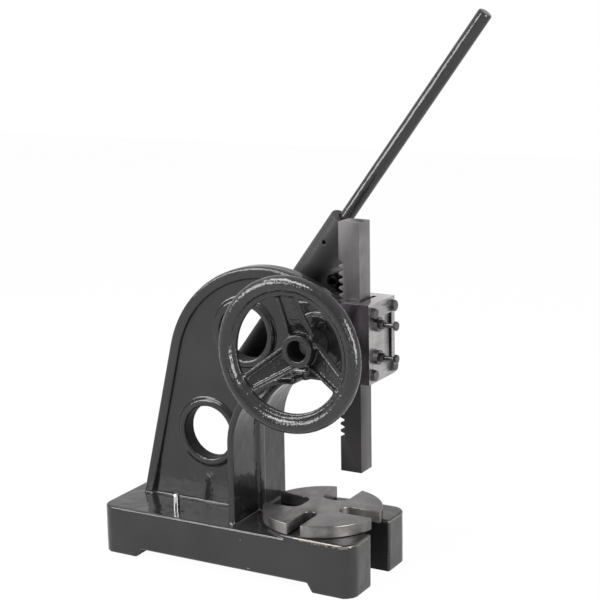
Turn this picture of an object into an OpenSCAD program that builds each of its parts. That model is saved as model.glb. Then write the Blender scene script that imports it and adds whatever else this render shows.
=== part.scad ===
// Ratchet arbor press: a one-piece cast frame that guides a square rack ram over a slotted turning table.
// Frame of the model: origin on the bench under the middle of the base, +X to the front, +Z up,
// handwheel on the -Y side, ratchet lever on the +Y side. All sizes are millimetres.

/* [Base] */
// Length of the base from rear to front
base_l = 521; // [500:1:560]
// Width of the base's edge beside the table plate
base_side = 3; // [2:0.5:20]
// Length of the base ahead of the table plate
base_front = 7; // [4:0.5:20]
// Height of the base at its top face
base_h = 90; // [80:1:100]
// Radius of the base's corners seen from above
base_corner_r = 26; // [16:1:32]
// Radius of the base's rounded top edge
base_edge_r = 8; // [4:0.5:12]
// Thickness of the walls round the hollow under the base
base_wall = 16; // [12:1:22]
// Thickness of the roof over that hollow
base_roof = 24; // [18:1:30]
// Height of the arch between the front and rear feet
foot_h = 16; // [8:1:24]
// Length of the rear foot
foot_rear_l = 75; // [60:1:90]
// Length of the front foot
foot_front_l = 78; // [66:1:84]
// Length by which the arch's slanted ends draw in from bench to roof
arch_slant = 10; // [2:1:16]
// Width of the work slot in the front of the base
slot_w = 71; // [50:1:80]
// Tapping-drill radius of the bench bolt holes in the feet
bench_hole_r = 5.1; // [4:0.1:7]
// Depth of the bench bolt holes
bench_hole_depth = 28; // [15:1:40]
// Distance between the bench bolt holes from rear to front
bench_pitch_x = 450; // [430:1:460]
// Distance between the bench bolt holes across the base
bench_pitch_y = 150; // [130:1:160]
// Radius of the bright peg that stands on the base
peg_r = 6; // [4:0.5:9]
// Height of the peg above the base
peg_h = 28; // [15:1:40]

/* [Table plate] */
// Radius of the turning table plate
table_r = 107; // [96:1:108]
// Thickness of the table plate
table_t = 21.4; // [16:0.2:26]
// Distance from the ram's axis back to the table's pivot
table_offset = 68.5; // [62:0.5:74]
// Height of the machined pad under the table
table_seat_h = 6; // [2:0.5:8]
// Width of the ledge between the pad's side and the base's side
pad_ledge = 0.6; // [0.3:0.1:1.5]
// Widths of the four table slots: front, far side, rear, near side
table_slot_w = [33, 51, 57, 26]; // [20:1:60]
// Distance from the pivot to the inner end of each table slot
table_slot_start = 36; // [33:1:42]
// Largest corner radius at the inner end of a table slot
table_slot_r = 18; // [6:1:24]
// Radius of the table's pivot pin
table_pin_r = 10; // [7:0.5:14]

/* [Column] */
// Distance from the ram's axis back to the front face of the column
throat_depth = 196.5; // [190:0.5:215]
// Radius of the throat's corner under the head
throat_r = 125; // [100:1:140]
// Width of the front flange of the column
flange_w = 184; // [140:1:200]
// Thickness of the front flange
flange_t = 12; // [8:0.5:18]
// Thickness of the column's web
web_t = 20; // [14:1:28]
// Thickness of the raised rim along the rear and the crown
rim_t = 34; // [30:1:44]
// Width of that rim
rim_w = 20; // [12:1:28]
// Length of the column's foot behind the front face
column_foot_l = 247; // [235:1:255]
// Height of the top of the crown
crown_top = 542; // [535:1:555]
// Radius of the crown
crown_r = 206; // [200:1:212]
// Distance of the crown's centre ahead of the front face
crown_forward = 24; // [16:1:30]
// Radius of the two round windows in the web
window_r = 49; // [36:1:52]
// Height of the lower window's middle above the base
window_low_up = 136; // [120:1:150]
// Width of the web between the lower window's ring and the front flange
window_low_gap = 26.5; // [15:0.5:35]
// Height of the upper window's middle above the crown's centre
window_high_up = 84; // [72:1:92]
// Distance of the upper window's middle behind the crown's centre
window_high_back = 44; // [34:1:54]
// Width of the raised ring round each window
window_ring_w = 14; // [8:1:16]
// Thickness of the rings from face to face
window_ring_t = 32; // [28:1:40]

/* [Head] */
// Height of the underside of the head
head_bottom = 361; // [350:1:372]
// Height of the head
head_h = 137; // [130:1:150]
// Width of the head
head_w = 98; // [96:1:112]
// Distance from the ram's axis to the back of the head
head_back = 98.5; // [94:0.5:110]
// Distance from the ram's axis to the front of the cap
cap_front = 51.5; // [46:0.5:60]
// Distance from the ram's axis back to the joint of cap and head
cap_joint = 1.5; // [0:0.5:6]
// Height by which the cap sits above the head
cap_rise = 3; // [0:0.5:6]
// Radius of the four cap bolts
cap_bolt_r = 5; // [4:0.5:6.5]
// Width across the flats of the cap bolts' heads
cap_bolt_af = 17; // [16:0.5:20]
// Thickness of the cap bolts' heads
cap_bolt_head = 6.5; // [5:0.5:10]
// Distance from the middle of the cap out to the bolts
cap_bolt_y = 37.5; // [37:0.5:38.5]
// Distance between upper and lower cap bolts
cap_bolt_pitch = 106; // [100:1:110]
// Thickness of the washers under the bolt heads
washer_t = 2; // [1.5:0.5:4]
// Width of the gib strip
gib_w = 58; // [50:1:60]
// Thickness of the gib strip
gib_t = 8; // [5:0.5:12]
// Distance of the gib screws from the middle of the cap
gib_screw_y = 23; // [19:0.5:24]
// Distance between upper and lower gib screws
gib_screw_pitch = 57; // [50:1:60]
// Height of the gib screws' middle above the middle of the cap
gib_screw_rise = 4; // [0:0.5:8]
// Radius of the gib screws
gib_screw_r = 4; // [3:0.25:5]
// Width across the flats of the gib screws' heads and lock nuts
gib_screw_af = 14; // [12:0.5:16]
// Length of the gib screws from the cap to their heads
gib_screw_out = 35; // [24:0.5:45]
// Thickness of the gib screws' heads
gib_head_t = 5.5; // [4:0.5:8]
// Thickness of the lock nuts
lock_nut_t = 8; // [5:0.5:10]
// Radius of the thick washers under the lock nuts
gib_washer_r = 12.5; // [9:0.5:13]
// Thickness of those washers
gib_washer_t = 8; // [3:0.5:12]
// Distance from the middle of the cap to the relief in its front
relief_start = 9; // [4:0.5:12]
// Width of the relief
relief_w = 28; // [20:0.5:32]
// Depth of the relief
relief_depth = 5.5; // [2:0.5:8]

/* [Ram and pinion] */
// Width of the square ram
ram_w = 40; // [36:0.5:41]
// Length of the ram
ram_l = 438; // [420:1:470]
// Height of the ram's nose above the bench at rest
ram_nose_z = 196.4; // [180:1:215]
// Gear module of rack and pinion
gear_module = 4; // [3.8:0.1:4.1]
// Number of pinion teeth
pinion_teeth = 12; // [12:1:13]
// Face width of the pinion
pinion_w = 42; // [38:1:44]
// Rack gaps below the pinion at rest
rack_below = 14; // [10:1:16]
// Rack gaps above the pinion at rest
rack_above = 11; // [8:1:13]
// Height of the pinion's axis above the underside of the head
pinion_up = 71; // [68:0.5:76]
// Radius of the pinion shaft
shaft_r = 17.5; // [14:0.5:18.5]
// Thickness of metal round the pinion in its bearing bore
bush_over = 3; // [2:0.5:5]
// Length of the near boss beside the head
near_boss_l = 17; // [10:1:24]
// Length of the far boss beside the head
far_boss_l = 13; // [8:1:20]
// Thickness of the bush flanges
bush_flange_t = 4; // [3:0.5:6]

/* [Handwheel] */
// Radius to the middle of the handwheel's rim
wheel_r = 119.5; // [110:0.5:125]
// Radius of the rim's round section
wheel_rim_r = 13.5; // [11:0.5:16]
// Height of the lip along the inside of the rim
wheel_lip = 6.5; // [2:0.5:8]
// Thickness of that lip
wheel_lip_t = 9; // [5:0.5:10]
// Distance of the rim's plane from the middle of the press
wheel_y = 158; // [152:1:168]
// Distance of the hub's outer face from the middle of the press
hub_face_y = 133; // [126:1:140]
// Radius of the handwheel's hub
hub_r = 28; // [24:0.5:29]
// Depth of the shaft's end inside the hub
shaft_inset = 42; // [30:1:44]
// Width of a spoke at the hub
spoke_w_hub = 44; // [30:1:46]
// Width of a spoke at the rim
spoke_w_rim = 28; // [18:1:38]
// Thickness of a spoke's floor
spoke_t = 6; // [4:0.5:9]
// Height of the ribs along a spoke's edges
spoke_rib_h = 6; // [3:0.5:10]
// Angle of the first spoke above the front
spoke_angle = 95; // [0:1:119]

/* [Ratchet and lever] */
// Outer radius of the ratchet wheel
ratchet_r = 50; // [44:0.5:51]
// Depth of the ratchet teeth
ratchet_depth = 7; // [4:0.5:9]
// Number of ratchet teeth
ratchet_teeth = 20; // [14:1:28]
// Thickness of the ratchet wheel
ratchet_t = 18; // [12:0.5:24]
// Radius of the lever's hub
lever_hub_r = 36; // [32:0.5:40]
// Length of the lever's hub
lever_hub_l = 30; // [24:0.5:40]
// Radius of the bush in the lever's hub
lever_bush_r = 22; // [20:0.5:26]
// Thickness of the lever's arm
lever_arm_t = 16; // [10:0.5:20]
// Distance from the pinion's axis to the handle's axis
lever_offset = 131.5; // [128:0.5:150]
// Angle of the handle above the horizontal at rest
lever_angle = 53.6; // [40:0.1:65]
// Radius of the handle socket
socket_r = 26.5; // [20:0.5:28]
// Length of the socket above the arm's middle
socket_up = 136; // [118:1:150]
// Length of the tail below the arm's middle
socket_down = 230; // [120:1:240]
// Radius of the handle bar
handle_r = 12.5; // [8:0.5:14]
// Distance from the arm's middle to the handle's tip
handle_reach = 580; // [450:1:650]
// Depth of the handle inside the socket
handle_grip_depth = 104; // [70:1:110]
// Distance from the arm's middle to the handle's set screw
set_screw_u = 85; // [60:1:95]
// Radius of the handle's set screw
set_screw_r = 3.75; // [2:0.25:4]
// Place of the pawl's pivot along the handle's direction
pawl_u = 43.5; // [42:0.5:46]
// Place of the pawl's pivot across the handle's direction
pawl_v = 76; // [74:0.5:80]
// Radius of the pawl's pin
pawl_pin_r = 6; // [4:0.5:8]
// Radius of the pawl's round end
pawl_eye_r = 13; // [11:0.5:15]
// Gap between the parked pawl and the ratchet teeth
pawl_clear = 1.6; // [0.8:0.1:3]

/* [Fits] */
// Running clearance of shafts and pins in their bores, on the radius
run_gap = 0.05; // [0.02:0.01:0.1]
// Clearance of pieces that are fitted and stay put, on the radius
seat_gap = 0.02; // [0.01:0.01:0.1]
// Clearance of the ram in its guides, on each side
slide_gap = 0.1; // [0.05:0.01:0.2]
// Clearance beside a gear tooth
flank_gap = 0.25; // [0.1:0.05:0.35]
// Clearance of a bolt in the hole it passes through, on the radius
bolt_gap = 0.3; // [0.2:0.05:0.6]
// Gap between flat faces that turn on each other
face_gap = 0.3; // [0.2:0.05:0.5]

/* [Hidden] */
$fn = 64;

// Small lengths by which cuts run past a face and joined volumes reach into each other
past = 1;
root = 1;

// Colours of the finishes
paint = [0.27, 0.28, 0.28];
steel = [0.50, 0.48, 0.48];
dark_steel = [0.33, 0.32, 0.32];
black_steel = [0.12, 0.12, 0.13];
bright_steel = [0.80, 0.80, 0.80];
bronze = [0.62, 0.45, 0.24];

// Places along the press
table_x = base_l / 2 - base_front - table_r;
ram_x = table_x + table_offset;
column_x = ram_x - throat_depth;
head_x0 = ram_x - head_back;
joint_x = ram_x - cap_joint;
cap_x1 = ram_x + cap_front;
base_w = 2 * (table_r + base_side);
hollow_x0 = -base_l / 2 + foot_rear_l;
hollow_x1 = ram_x - slot_w / 2 - base_wall;
arch_x1 = base_l / 2 - foot_front_l;
peg_x = column_x - column_foot_l / 2 - 17;
peg_y = -0.6 * base_w / 2;
peg_z0 = base_h - 15;

// Heights of the press
hollow_top = base_h - base_roof;
seat_z = base_h + table_seat_h;
table_z0 = seat_z + face_gap;
table_z1 = table_z0 + table_t;
table_pin_top = table_z0 + 0.7 * table_t;
throat_z = head_bottom - throat_r;
throat_x = column_x + throat_r;
head_top = head_bottom + head_h;
cap_z0 = head_bottom + cap_rise;
cap_mid_z = cap_z0 + head_h / 2;

// Outline of the column: crown circle and the rear edge that runs down from it to the foot
crown_x = column_x + crown_forward;
crown_z = crown_top - crown_r;
rear_foot = [column_x - column_foot_l, base_h - root];
to_crown = [crown_x, crown_z] - rear_foot;
rear_slope = atan2(to_crown[1], to_crown[0]) + asin(crown_r / norm(to_crown));
rear_normal = [-sin(rear_slope), cos(rear_slope)];

// Middles of the lower and the upper window
windows = [
    [column_x - flange_t - window_r - window_ring_w - window_low_gap, base_h + window_low_up],
    [crown_x - window_high_back, crown_z + window_high_up]
];

// Gear geometry: a rack with a shortened tip meshes with a full-depth pinion
pressure = 20;
pitch_r = gear_module * pinion_teeth / 2;
base_circle_r = pitch_r * cos(pressure);
pinion_tip_r = pitch_r + gear_module;
rack_pitch = PI * gear_module;
rack_tip = 0.68 * gear_module;
rack_root = 1.25 * gear_module;
pinion_root_r = pitch_r - rack_tip - 0.25 * gear_module;
tooth_w = rack_pitch / 2 - flank_gap / cos(pressure);
gap_w = rack_pitch / 2 + flank_gap / cos(pressure);
flank_steps = 6;

// Pinion axis and the stations along it, from the near side to the far side
axis_x = ram_x - ram_w / 2 + rack_tip - pitch_r;
axis_z = head_bottom + pinion_up;
near_boss_y = -(head_w / 2 + near_boss_l);
near_flange_y = near_boss_y - bush_flange_t;
hub_back_y = near_flange_y - face_gap;
far_boss_y = head_w / 2 + far_boss_l;
far_flange_y = far_boss_y + bush_flange_t;
ratchet_y = far_flange_y + face_gap;
lever_hub_y = ratchet_y + ratchet_t + face_gap;
shaft_y0 = -(hub_face_y - shaft_inset);
shaft_y1 = lever_hub_y + lever_hub_l + face_gap;
arm_y0 = lever_hub_y + 3;
arm_y1 = arm_y0 + lever_arm_t;
socket_y = arm_y0 + lever_arm_t / 2;

// Keys and fasteners
key_w = 10;
key_h = 8;
key_depth = key_h / 2;
key_end_gap = 2;
key_angle = 50;
washer_r = 1.03 * cap_bolt_af / sqrt(3);
near_bolt_r = 4;
near_bolt_head_r = 7.5;
near_bolt_head_t = 5.5;
bush_r = pinion_tip_r + bush_over;
near_bolt_circle = max(bush_r + near_bolt_r + 1, hub_r + near_bolt_head_r + 2);
boss_r = near_bolt_circle + near_bolt_r + 6;
bush_flange_r = boss_r - 1;
bush_end_y = pinion_w / 2 + 3;
near_bolt_angles = [62, 182, 302];
near_bolt_depth = near_boss_l - 3;
end_bolt_r = 6;
end_bolt_l = 30;
end_bolt_head_r = 11;
end_bolt_head_t = 8;
end_washer_r = 26;
end_washer_t = 5;
cap_bolt_grip = 26;
hub_screw_r = 5;
hub_screw_y = hub_back_y - 12;
pawl_pin_end = 3;
ring_t = 2.5;

// Round bar along Y
module y_bar(x, z, y0, y1, r) {
    translate([x, y0, z]) rotate([-90, 0, 0]) cylinder(r = r, h = y1 - y0);
}

// Round bar along X
module x_bar(y, z, x0, x1, r) {
    translate([x0, y, z]) rotate([0, 90, 0]) cylinder(r = r, h = x1 - x0);
}

// Round bar along Z
module z_bar(x, y, z0, z1, r) {
    translate([x, y, z0]) cylinder(r = r, h = z1 - z0);
}

// Six-sided bar along X with a given width across its flats
module x_hex(y, z, x0, x1, af) {
    translate([x0, y, z]) rotate([0, 90, 0]) cylinder(r = af / sqrt(3), h = x1 - x0, $fn = 6);
}

// Rectangular block between two corners
module block(low, high) {
    translate(low) cube(high - low);
}

// Plate with an outline in X and Z, between two Y values
module xz_plate(outline, y0, y1) {
    translate([0, y1, 0]) rotate([90, 0, 0]) linear_extrude(height = y1 - y0) polygon(outline);
}

// Puts a piece drawn round the Z axis on the pinion's axis, with its +Z towards the near side
module on_near_axis() {
    translate([axis_x, 0, axis_z]) rotate([90, 0, 0]) children();
}

// Puts a piece drawn round the Z axis at each bolt of the near bush
module at_near_bolts() {
    for (a = near_bolt_angles) on_near_axis() translate(polar(near_bolt_circle, a)) children();
}

// Puts a piece drawn in the lever's own directions in place: +X along the handle, +Z across it
module on_lever() {
    translate([axis_x, 0, axis_z]) rotate([0, -lever_angle, 0]) children();
}

// Point at a radius and an angle
function polar(r, a) = [r * cos(a), r * sin(a)];

// Involute of an angle, in degrees
function involute(a) = tan(a) * 180 / PI - a;

// Half angle of a pinion tooth at a radius on its flank
function half_angle(r) =
    tooth_w / 2 / pitch_r * 180 / PI + involute(pressure) - involute(acos(base_circle_r / r));

// Radius of a step along the flank
function flank_r(i) = base_circle_r + (pinion_tip_r - base_circle_r) * i / flank_steps;

// Outline of one pinion tooth that points along an angle
function pinion_tooth(a) = concat(
    [polar(pinion_root_r, a - half_angle(base_circle_r))],
    [for (i = [0:flank_steps]) polar(flank_r(i), a - half_angle(flank_r(i)))],
    [for (i = [flank_steps:-1:0]) polar(flank_r(i), a + half_angle(flank_r(i)))],
    [polar(pinion_root_r, a + half_angle(base_circle_r))]
);

// Slab with rounded corners and a rounded top edge
module soft_slab(l, w, h, corner_r, edge_r) {
    mid = h - edge_r;
    for (layer = [[0, mid], [edge_r, h]]) {
        side = layer[0];
        top = layer[1];
        block([-l / 2 + corner_r, -w / 2 + side, 0], [l / 2 - corner_r, w / 2 - side, top]);
        block([-l / 2 + side, -w / 2 + corner_r, 0], [l / 2 - side, w / 2 - corner_r, top]);
        for (sx = [-1, 1], sy = [-1, 1])
            z_bar(sx * (l / 2 - corner_r), sy * (w / 2 - corner_r), 0, top, corner_r - side);
    }
    for (s = [-1, 1]) {
        x_bar(s * (w / 2 - edge_r), mid, -l / 2 + corner_r, l / 2 - corner_r, edge_r);
        y_bar(s * (l / 2 - edge_r), mid, -w / 2 + corner_r, w / 2 - corner_r, edge_r);
    }
    for (sx = [-1, 1], sy = [-1, 1])
        translate([sx * (l / 2 - corner_r), sy * (w / 2 - corner_r), mid])
            rotate_extrude() translate([corner_r - edge_r, 0]) circle(r = edge_r);
}

// Column seen from the side, drawn in by some amount along the rear and the crown
module column_profile(inset, thick, front_x) {
    foot_x = rear_foot[0] + inset / sin(rear_slope);
    tangent = [crown_x, crown_z] + (crown_r - inset) * rear_normal;
    y_bar(crown_x, crown_z, -thick / 2, thick / 2, crown_r - inset);
    xz_plate(
        [[foot_x, rear_foot[1]], tangent, [crown_x, crown_z], [front_x, crown_z], [front_x, rear_foot[1]]],
        -thick / 2, thick / 2
    );
}

// Open space of the throat: in front of the column and under the head
module throat_space(w) {
    y_bar(throat_x, throat_z, -w / 2, w / 2, throat_r);
    block([column_x, -w / 2, 0], [cap_x1 + base_l, w / 2, throat_z]);
    block([throat_x, -w / 2, 0], [cap_x1 + base_l, w / 2, head_bottom]);
}

// Wide flange that lines the throat, from the base up and forward under the head
module throat_flange() {
    block([column_x - flange_t, -flange_w / 2, base_h - root], [column_x, flange_w / 2, throat_z]);
    intersection() {
        difference() {
            y_bar(throat_x, throat_z, -flange_w / 2, flange_w / 2, throat_r + flange_t);
            y_bar(throat_x, throat_z, -flange_w / 2 - past, flange_w / 2 + past, throat_r);
        }
        block(
            [column_x - flange_t, -flange_w / 2, throat_z],
            [throat_x, flange_w / 2, throat_z + throat_r + flange_t]
        );
    }
}

// Raised pad under the table: round at the rear, and with the base's own outline at the front
module table_pad() {
    low = base_h - base_edge_r;
    front = base_l / 2 - pad_ledge;
    side = base_w / 2 - pad_ledge;
    z_bar(table_x, 0, low, seat_z, side);
    block([table_x, -side, low], [base_l / 2 - base_corner_r, side, seat_z]);
    block([table_x, -base_w / 2 + base_corner_r, low], [front, base_w / 2 - base_corner_r, seat_z]);
    for (s = [-1, 1])
        z_bar(base_l / 2 - base_corner_r, s * (base_w / 2 - base_corner_r), low, seat_z,
            base_corner_r - pad_ledge);
}

module frame_body() {
    soft_slab(base_l, base_w, base_h, base_corner_r, base_edge_r);
    table_pad();
    difference() {
        union() {
            column_profile(0, web_t, column_x - flange_t / 2);
            difference() {
                column_profile(0, rim_t, column_x - flange_t / 2);
                column_profile(rim_w, rim_t + past, column_x);
            }
            for (w = windows)
                y_bar(w[0], w[1], -window_ring_t / 2, window_ring_t / 2, window_r + window_ring_w);
            block([head_x0, -head_w / 2, head_bottom], [joint_x, head_w / 2, head_top]);
        }
        block([joint_x, -rim_t, head_bottom - past], [crown_x + crown_r + past, rim_t, crown_top]);
        intersection() {
            throat_space(rim_t + past);
            block([column_x, -rim_t, base_h], [crown_x + crown_r + past, rim_t, head_bottom]);
        }
    }
    throat_flange();
    y_bar(axis_x, axis_z, near_boss_y, -head_w / 2 + root, boss_r);
    y_bar(axis_x, axis_z, head_w / 2 - root, far_boss_y, boss_r);
}

module frame_casting() color(paint) difference() {
    frame_body();
    for (w = windows) y_bar(w[0], w[1], -rim_t, rim_t, window_r);
    y_bar(axis_x, axis_z, near_boss_y - past, far_boss_y + past, bush_r + seat_gap);
    block(
        [ram_x - ram_w / 2 - slide_gap, -ram_w / 2 - slide_gap, head_bottom - past],
        [joint_x + boss_r, ram_w / 2 + slide_gap, head_top + past]
    );
    block([joint_x, -head_w / 2 - near_boss_l - past, head_bottom], [joint_x + boss_r, head_w, head_top]);
    for (y = [-1, 1], z = [-1, 1])
        x_bar(y * cap_bolt_y, cap_mid_z + z * cap_bolt_pitch / 2, joint_x - cap_bolt_grip - past,
            joint_x + past, cap_bolt_r + seat_gap);
    at_near_bolts() translate([0, 0, -near_boss_y - near_bolt_depth])
        cylinder(r = near_bolt_r + seat_gap, h = near_bolt_depth + past);
    z_bar(ram_x, 0, -past, seat_z + past, slot_w / 2);
    block([ram_x, -slot_w / 2, -past], [base_l / 2 + past, slot_w / 2, seat_z + past]);
    block([hollow_x0, -base_w / 2 + base_wall, -past], [hollow_x1, base_w / 2 - base_wall, hollow_top]);
    xz_plate(
        [[hollow_x0, -past], [arch_x1, -past], [arch_x1, 0], [arch_x1 - arch_slant, foot_h],
         [hollow_x0 + arch_slant, foot_h], [hollow_x0, 0]],
        -base_w / 2 - past, base_w / 2 + past
    );
    for (x = [-1, 1], y = [-1, 1])
        z_bar(x * bench_pitch_x / 2, y * bench_pitch_y / 2, -past, bench_hole_depth, bench_hole_r);
    z_bar(table_x, 0, hollow_top - past, seat_z + past, table_pin_r + seat_gap);
    z_bar(peg_x, peg_y, peg_z0, base_h + past, peg_r + seat_gap);
}

module base_peg() color(bright_steel) {
    shoulder = base_h + peg_h - peg_r / 2;
    z_bar(peg_x, peg_y, peg_z0, shoulder, peg_r);
    translate([peg_x, peg_y, shoulder]) cylinder(r1 = peg_r, r2 = 0.6 * peg_r, h = peg_r / 2);
}

module table_pivot_pin() color(steel)
    z_bar(table_x, 0, hollow_top, table_pin_top, table_pin_r);

// Slot of a given width that opens through the table's edge along +X
module table_slot(w) {
    r = min(w / 2 - 0.5, table_slot_r);
    start = table_slot_start;
    block([start + r, -w / 2, table_z0 - past], [table_r + past, w / 2, table_z1 + past]);
    block([start, -w / 2 + r, table_z0 - past], [table_r + past, w / 2 - r, table_z1 + past]);
    for (s = [-1, 1]) z_bar(start + r, s * (w / 2 - r), table_z0 - past, table_z1 + past, r);
}

module table_plate() color(steel) difference() {
    z_bar(table_x, 0, table_z0, table_z1, table_r);
    for (i = [0:3]) translate([table_x, 0, 0]) rotate([0, 0, 90 * i]) table_slot(table_slot_w[i]);
    z_bar(table_x, 0, table_z0 - past, table_pin_top + face_gap, table_pin_r + run_gap);
}

module ram_cap() color(dark_steel) difference() {
    block([joint_x, -head_w / 2, cap_z0], [cap_x1, head_w / 2, cap_z0 + head_h]);
    block(
        [joint_x - past, -ram_w / 2 - slide_gap, cap_z0 - past],
        [ram_x + ram_w / 2 + slide_gap, ram_w / 2 + slide_gap, cap_z0 + head_h + past]
    );
    block(
        [ram_x + ram_w / 2, -gib_w / 2 - seat_gap, cap_z0 - past],
        [ram_x + ram_w / 2 + slide_gap + gib_t, gib_w / 2 + seat_gap, cap_z0 + head_h + past]
    );
    for (y = [-1, 1], z = [-1, 1])
        x_bar(y * cap_bolt_y, cap_mid_z + z * cap_bolt_pitch / 2, joint_x - past, cap_x1 + past,
            cap_bolt_r + bolt_gap);
    for (z = gib_screw_z) x_bar(-gib_screw_y, z, ram_x, cap_x1 + past, gib_screw_r + seat_gap);
    relief_h = cap_bolt_pitch - 2 * washer_r - 2;
    block(
        [cap_x1 - relief_depth, relief_start, cap_mid_z - relief_h / 2],
        [cap_x1 + past, relief_start + relief_w, cap_mid_z + relief_h / 2]
    );
}

module cap_bolts() color(black_steel)
    for (y = [-1, 1], z = [-1, 1]) {
        bolt_y = y * cap_bolt_y;
        bolt_z = cap_mid_z + z * cap_bolt_pitch / 2;
        x_bar(bolt_y, bolt_z, joint_x - cap_bolt_grip, cap_x1 + washer_t + root, cap_bolt_r);
        x_hex(bolt_y, bolt_z, cap_x1 + washer_t, cap_x1 + washer_t + cap_bolt_head, cap_bolt_af);
    }

module cap_washers() color(steel)
    for (y = [-1, 1], z = [-1, 1]) difference() {
        x_bar(y * cap_bolt_y, cap_mid_z + z * cap_bolt_pitch / 2, cap_x1, cap_x1 + washer_t, washer_r);
        x_bar(y * cap_bolt_y, cap_mid_z + z * cap_bolt_pitch / 2, cap_x1 - past, cap_x1 + washer_t + past,
            cap_bolt_r + bolt_gap);
    }

// Front face of the gib, where the adjusting screws press, and the places of those screws
gib_x0 = ram_x + ram_w / 2 + slide_gap;
gib_x1 = gib_x0 + gib_t - seat_gap;
gib_screw_z = [for (z = [-1, 1]) cap_mid_z + gib_screw_rise + z * gib_screw_pitch / 2];
gib_head_x = cap_x1 + gib_screw_out;
gib_nut_x = cap_x1 + gib_washer_t;

module gib_strip() color(dark_steel)
    block([gib_x0, -gib_w / 2, cap_z0 + 2], [gib_x1, gib_w / 2, cap_z0 + head_h - 2]);

module gib_screws() color(black_steel)
    for (z = gib_screw_z) {
        x_bar(-gib_screw_y, z, gib_x1, gib_head_x + root, gib_screw_r);
        x_hex(-gib_screw_y, z, gib_head_x, gib_head_x + gib_head_t, gib_screw_af);
    }

module gib_lock_nuts() color(black_steel)
    for (z = gib_screw_z) difference() {
        x_hex(-gib_screw_y, z, gib_nut_x, gib_nut_x + lock_nut_t, gib_screw_af);
        x_bar(-gib_screw_y, z, gib_nut_x - past, gib_nut_x + lock_nut_t + past, gib_screw_r + seat_gap);
    }

module gib_washers() color(dark_steel)
    for (z = gib_screw_z) difference() {
        x_bar(-gib_screw_y, z, cap_x1, gib_nut_x, gib_washer_r);
        x_bar(-gib_screw_y, z, cap_x1 - past, gib_nut_x + past, gib_screw_r + bolt_gap);
    }

module near_bush() color(paint) difference() {
    union() {
        y_bar(axis_x, axis_z, near_boss_y - root, -bush_end_y, bush_r);
        y_bar(axis_x, axis_z, near_flange_y, near_boss_y, bush_flange_r);
    }
    y_bar(axis_x, axis_z, near_flange_y - past, -bush_end_y + past, shaft_r + run_gap);
    at_near_bolts() translate([0, 0, -near_boss_y - past])
        cylinder(r = near_bolt_r + seat_gap, h = bush_flange_t + 2 * past);
}

module near_bush_bolts() color(black_steel) at_near_bolts() {
    translate([0, 0, -near_boss_y - near_bolt_depth])
        cylinder(r = near_bolt_r, h = near_bolt_depth + bush_flange_t + root);
    translate([0, 0, -near_flange_y]) cylinder(r = near_bolt_head_r, h = near_bolt_head_t, $fn = 6);
}

module far_bush() color(paint) difference() {
    union() {
        y_bar(axis_x, axis_z, bush_end_y, far_boss_y + root, bush_r);
        y_bar(axis_x, axis_z, far_boss_y, far_flange_y, bush_flange_r);
    }
    y_bar(axis_x, axis_z, bush_end_y - past, far_flange_y + past, shaft_r + run_gap);
}

// One gap between rack teeth, cut into the ram's rear face
module rack_gap(z) {
    back = ram_x - ram_w / 2;
    pitch_line = back + rack_tip;
    half = gap_w / 2;
    wide = half + (rack_tip + past) * tan(pressure);
    narrow = half - rack_root * tan(pressure);
    xz_plate(
        [[back - past, z - wide], [pitch_line + rack_root, z - narrow],
         [pitch_line + rack_root, z + narrow], [back - past, z + wide]],
        -ram_w / 2 - past, ram_w / 2 + past
    );
}

module ram() color(steel) difference() {
    block(
        [ram_x - ram_w / 2, -ram_w / 2, ram_nose_z],
        [ram_x + ram_w / 2, ram_w / 2, ram_nose_z + ram_l]
    );
    for (i = [-rack_below:rack_above - 1]) rack_gap(axis_z + (i + 0.5) * rack_pitch);
}

// Keyway or key on the pinion's axis: a bar on the side that points up and to the front
module key_bar(y0, y1, grow) {
    translate([axis_x, 0, axis_z]) rotate([0, key_angle, 0]) block(
        [-key_w / 2 - grow, y0, shaft_r - key_depth - grow],
        [key_w / 2 + grow, y1, shaft_r + key_h - key_depth + grow]
    );
}

wheel_key_y0 = shaft_y0 + key_end_gap;
wheel_key_y1 = hub_back_y - key_end_gap;
ratchet_key_y0 = ratchet_y;
ratchet_key_y1 = ratchet_y + ratchet_t;

module pinion_shaft() color(steel) difference() {
    union() {
        y_bar(axis_x, axis_z, shaft_y0, shaft_y1, shaft_r);
        on_near_axis() translate([0, 0, -pinion_w / 2]) linear_extrude(height = pinion_w)
            polygon([for (i = [0:pinion_teeth - 1]) each pinion_tooth((i + 0.5) * 360 / pinion_teeth)]);
    }
    key_bar(wheel_key_y0, wheel_key_y1, seat_gap);
    key_bar(ratchet_key_y0, ratchet_key_y1, seat_gap);
    y_bar(axis_x, axis_z, shaft_y1 - end_bolt_l - past, shaft_y1 + past, end_bolt_r + seat_gap);
}

// Distance by which the rim's lip reaches ahead of the rim's plane
wheel_lip_front = 3.5;

// One handwheel spoke: a sloping floor with a rib along each edge, drawn along +X round the Z axis
module wheel_spoke() {
    inner = hub_r - 4;
    outer = wheel_r - 2;
    low = hub_face_y - 28;
    slope = atan2(wheel_y - 4 - low, outer - inner);
    run = (outer - inner) / cos(slope);
    translate([inner, 0, low]) rotate([0, -slope, 0]) {
        linear_extrude(height = spoke_t)
            polygon([
                [0, -spoke_w_hub / 2], [run, -spoke_w_rim / 2],
                [run, spoke_w_rim / 2], [0, spoke_w_hub / 2]
            ]);
        for (s = [-1, 1]) linear_extrude(height = spoke_t + spoke_rib_h)
            polygon([
                [0, s * spoke_w_hub / 2], [run, s * spoke_w_rim / 2],
                [run, s * (spoke_w_rim / 2 - 5)], [0, s * (spoke_w_hub / 2 - 6)]
            ]);
    }
}

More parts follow.
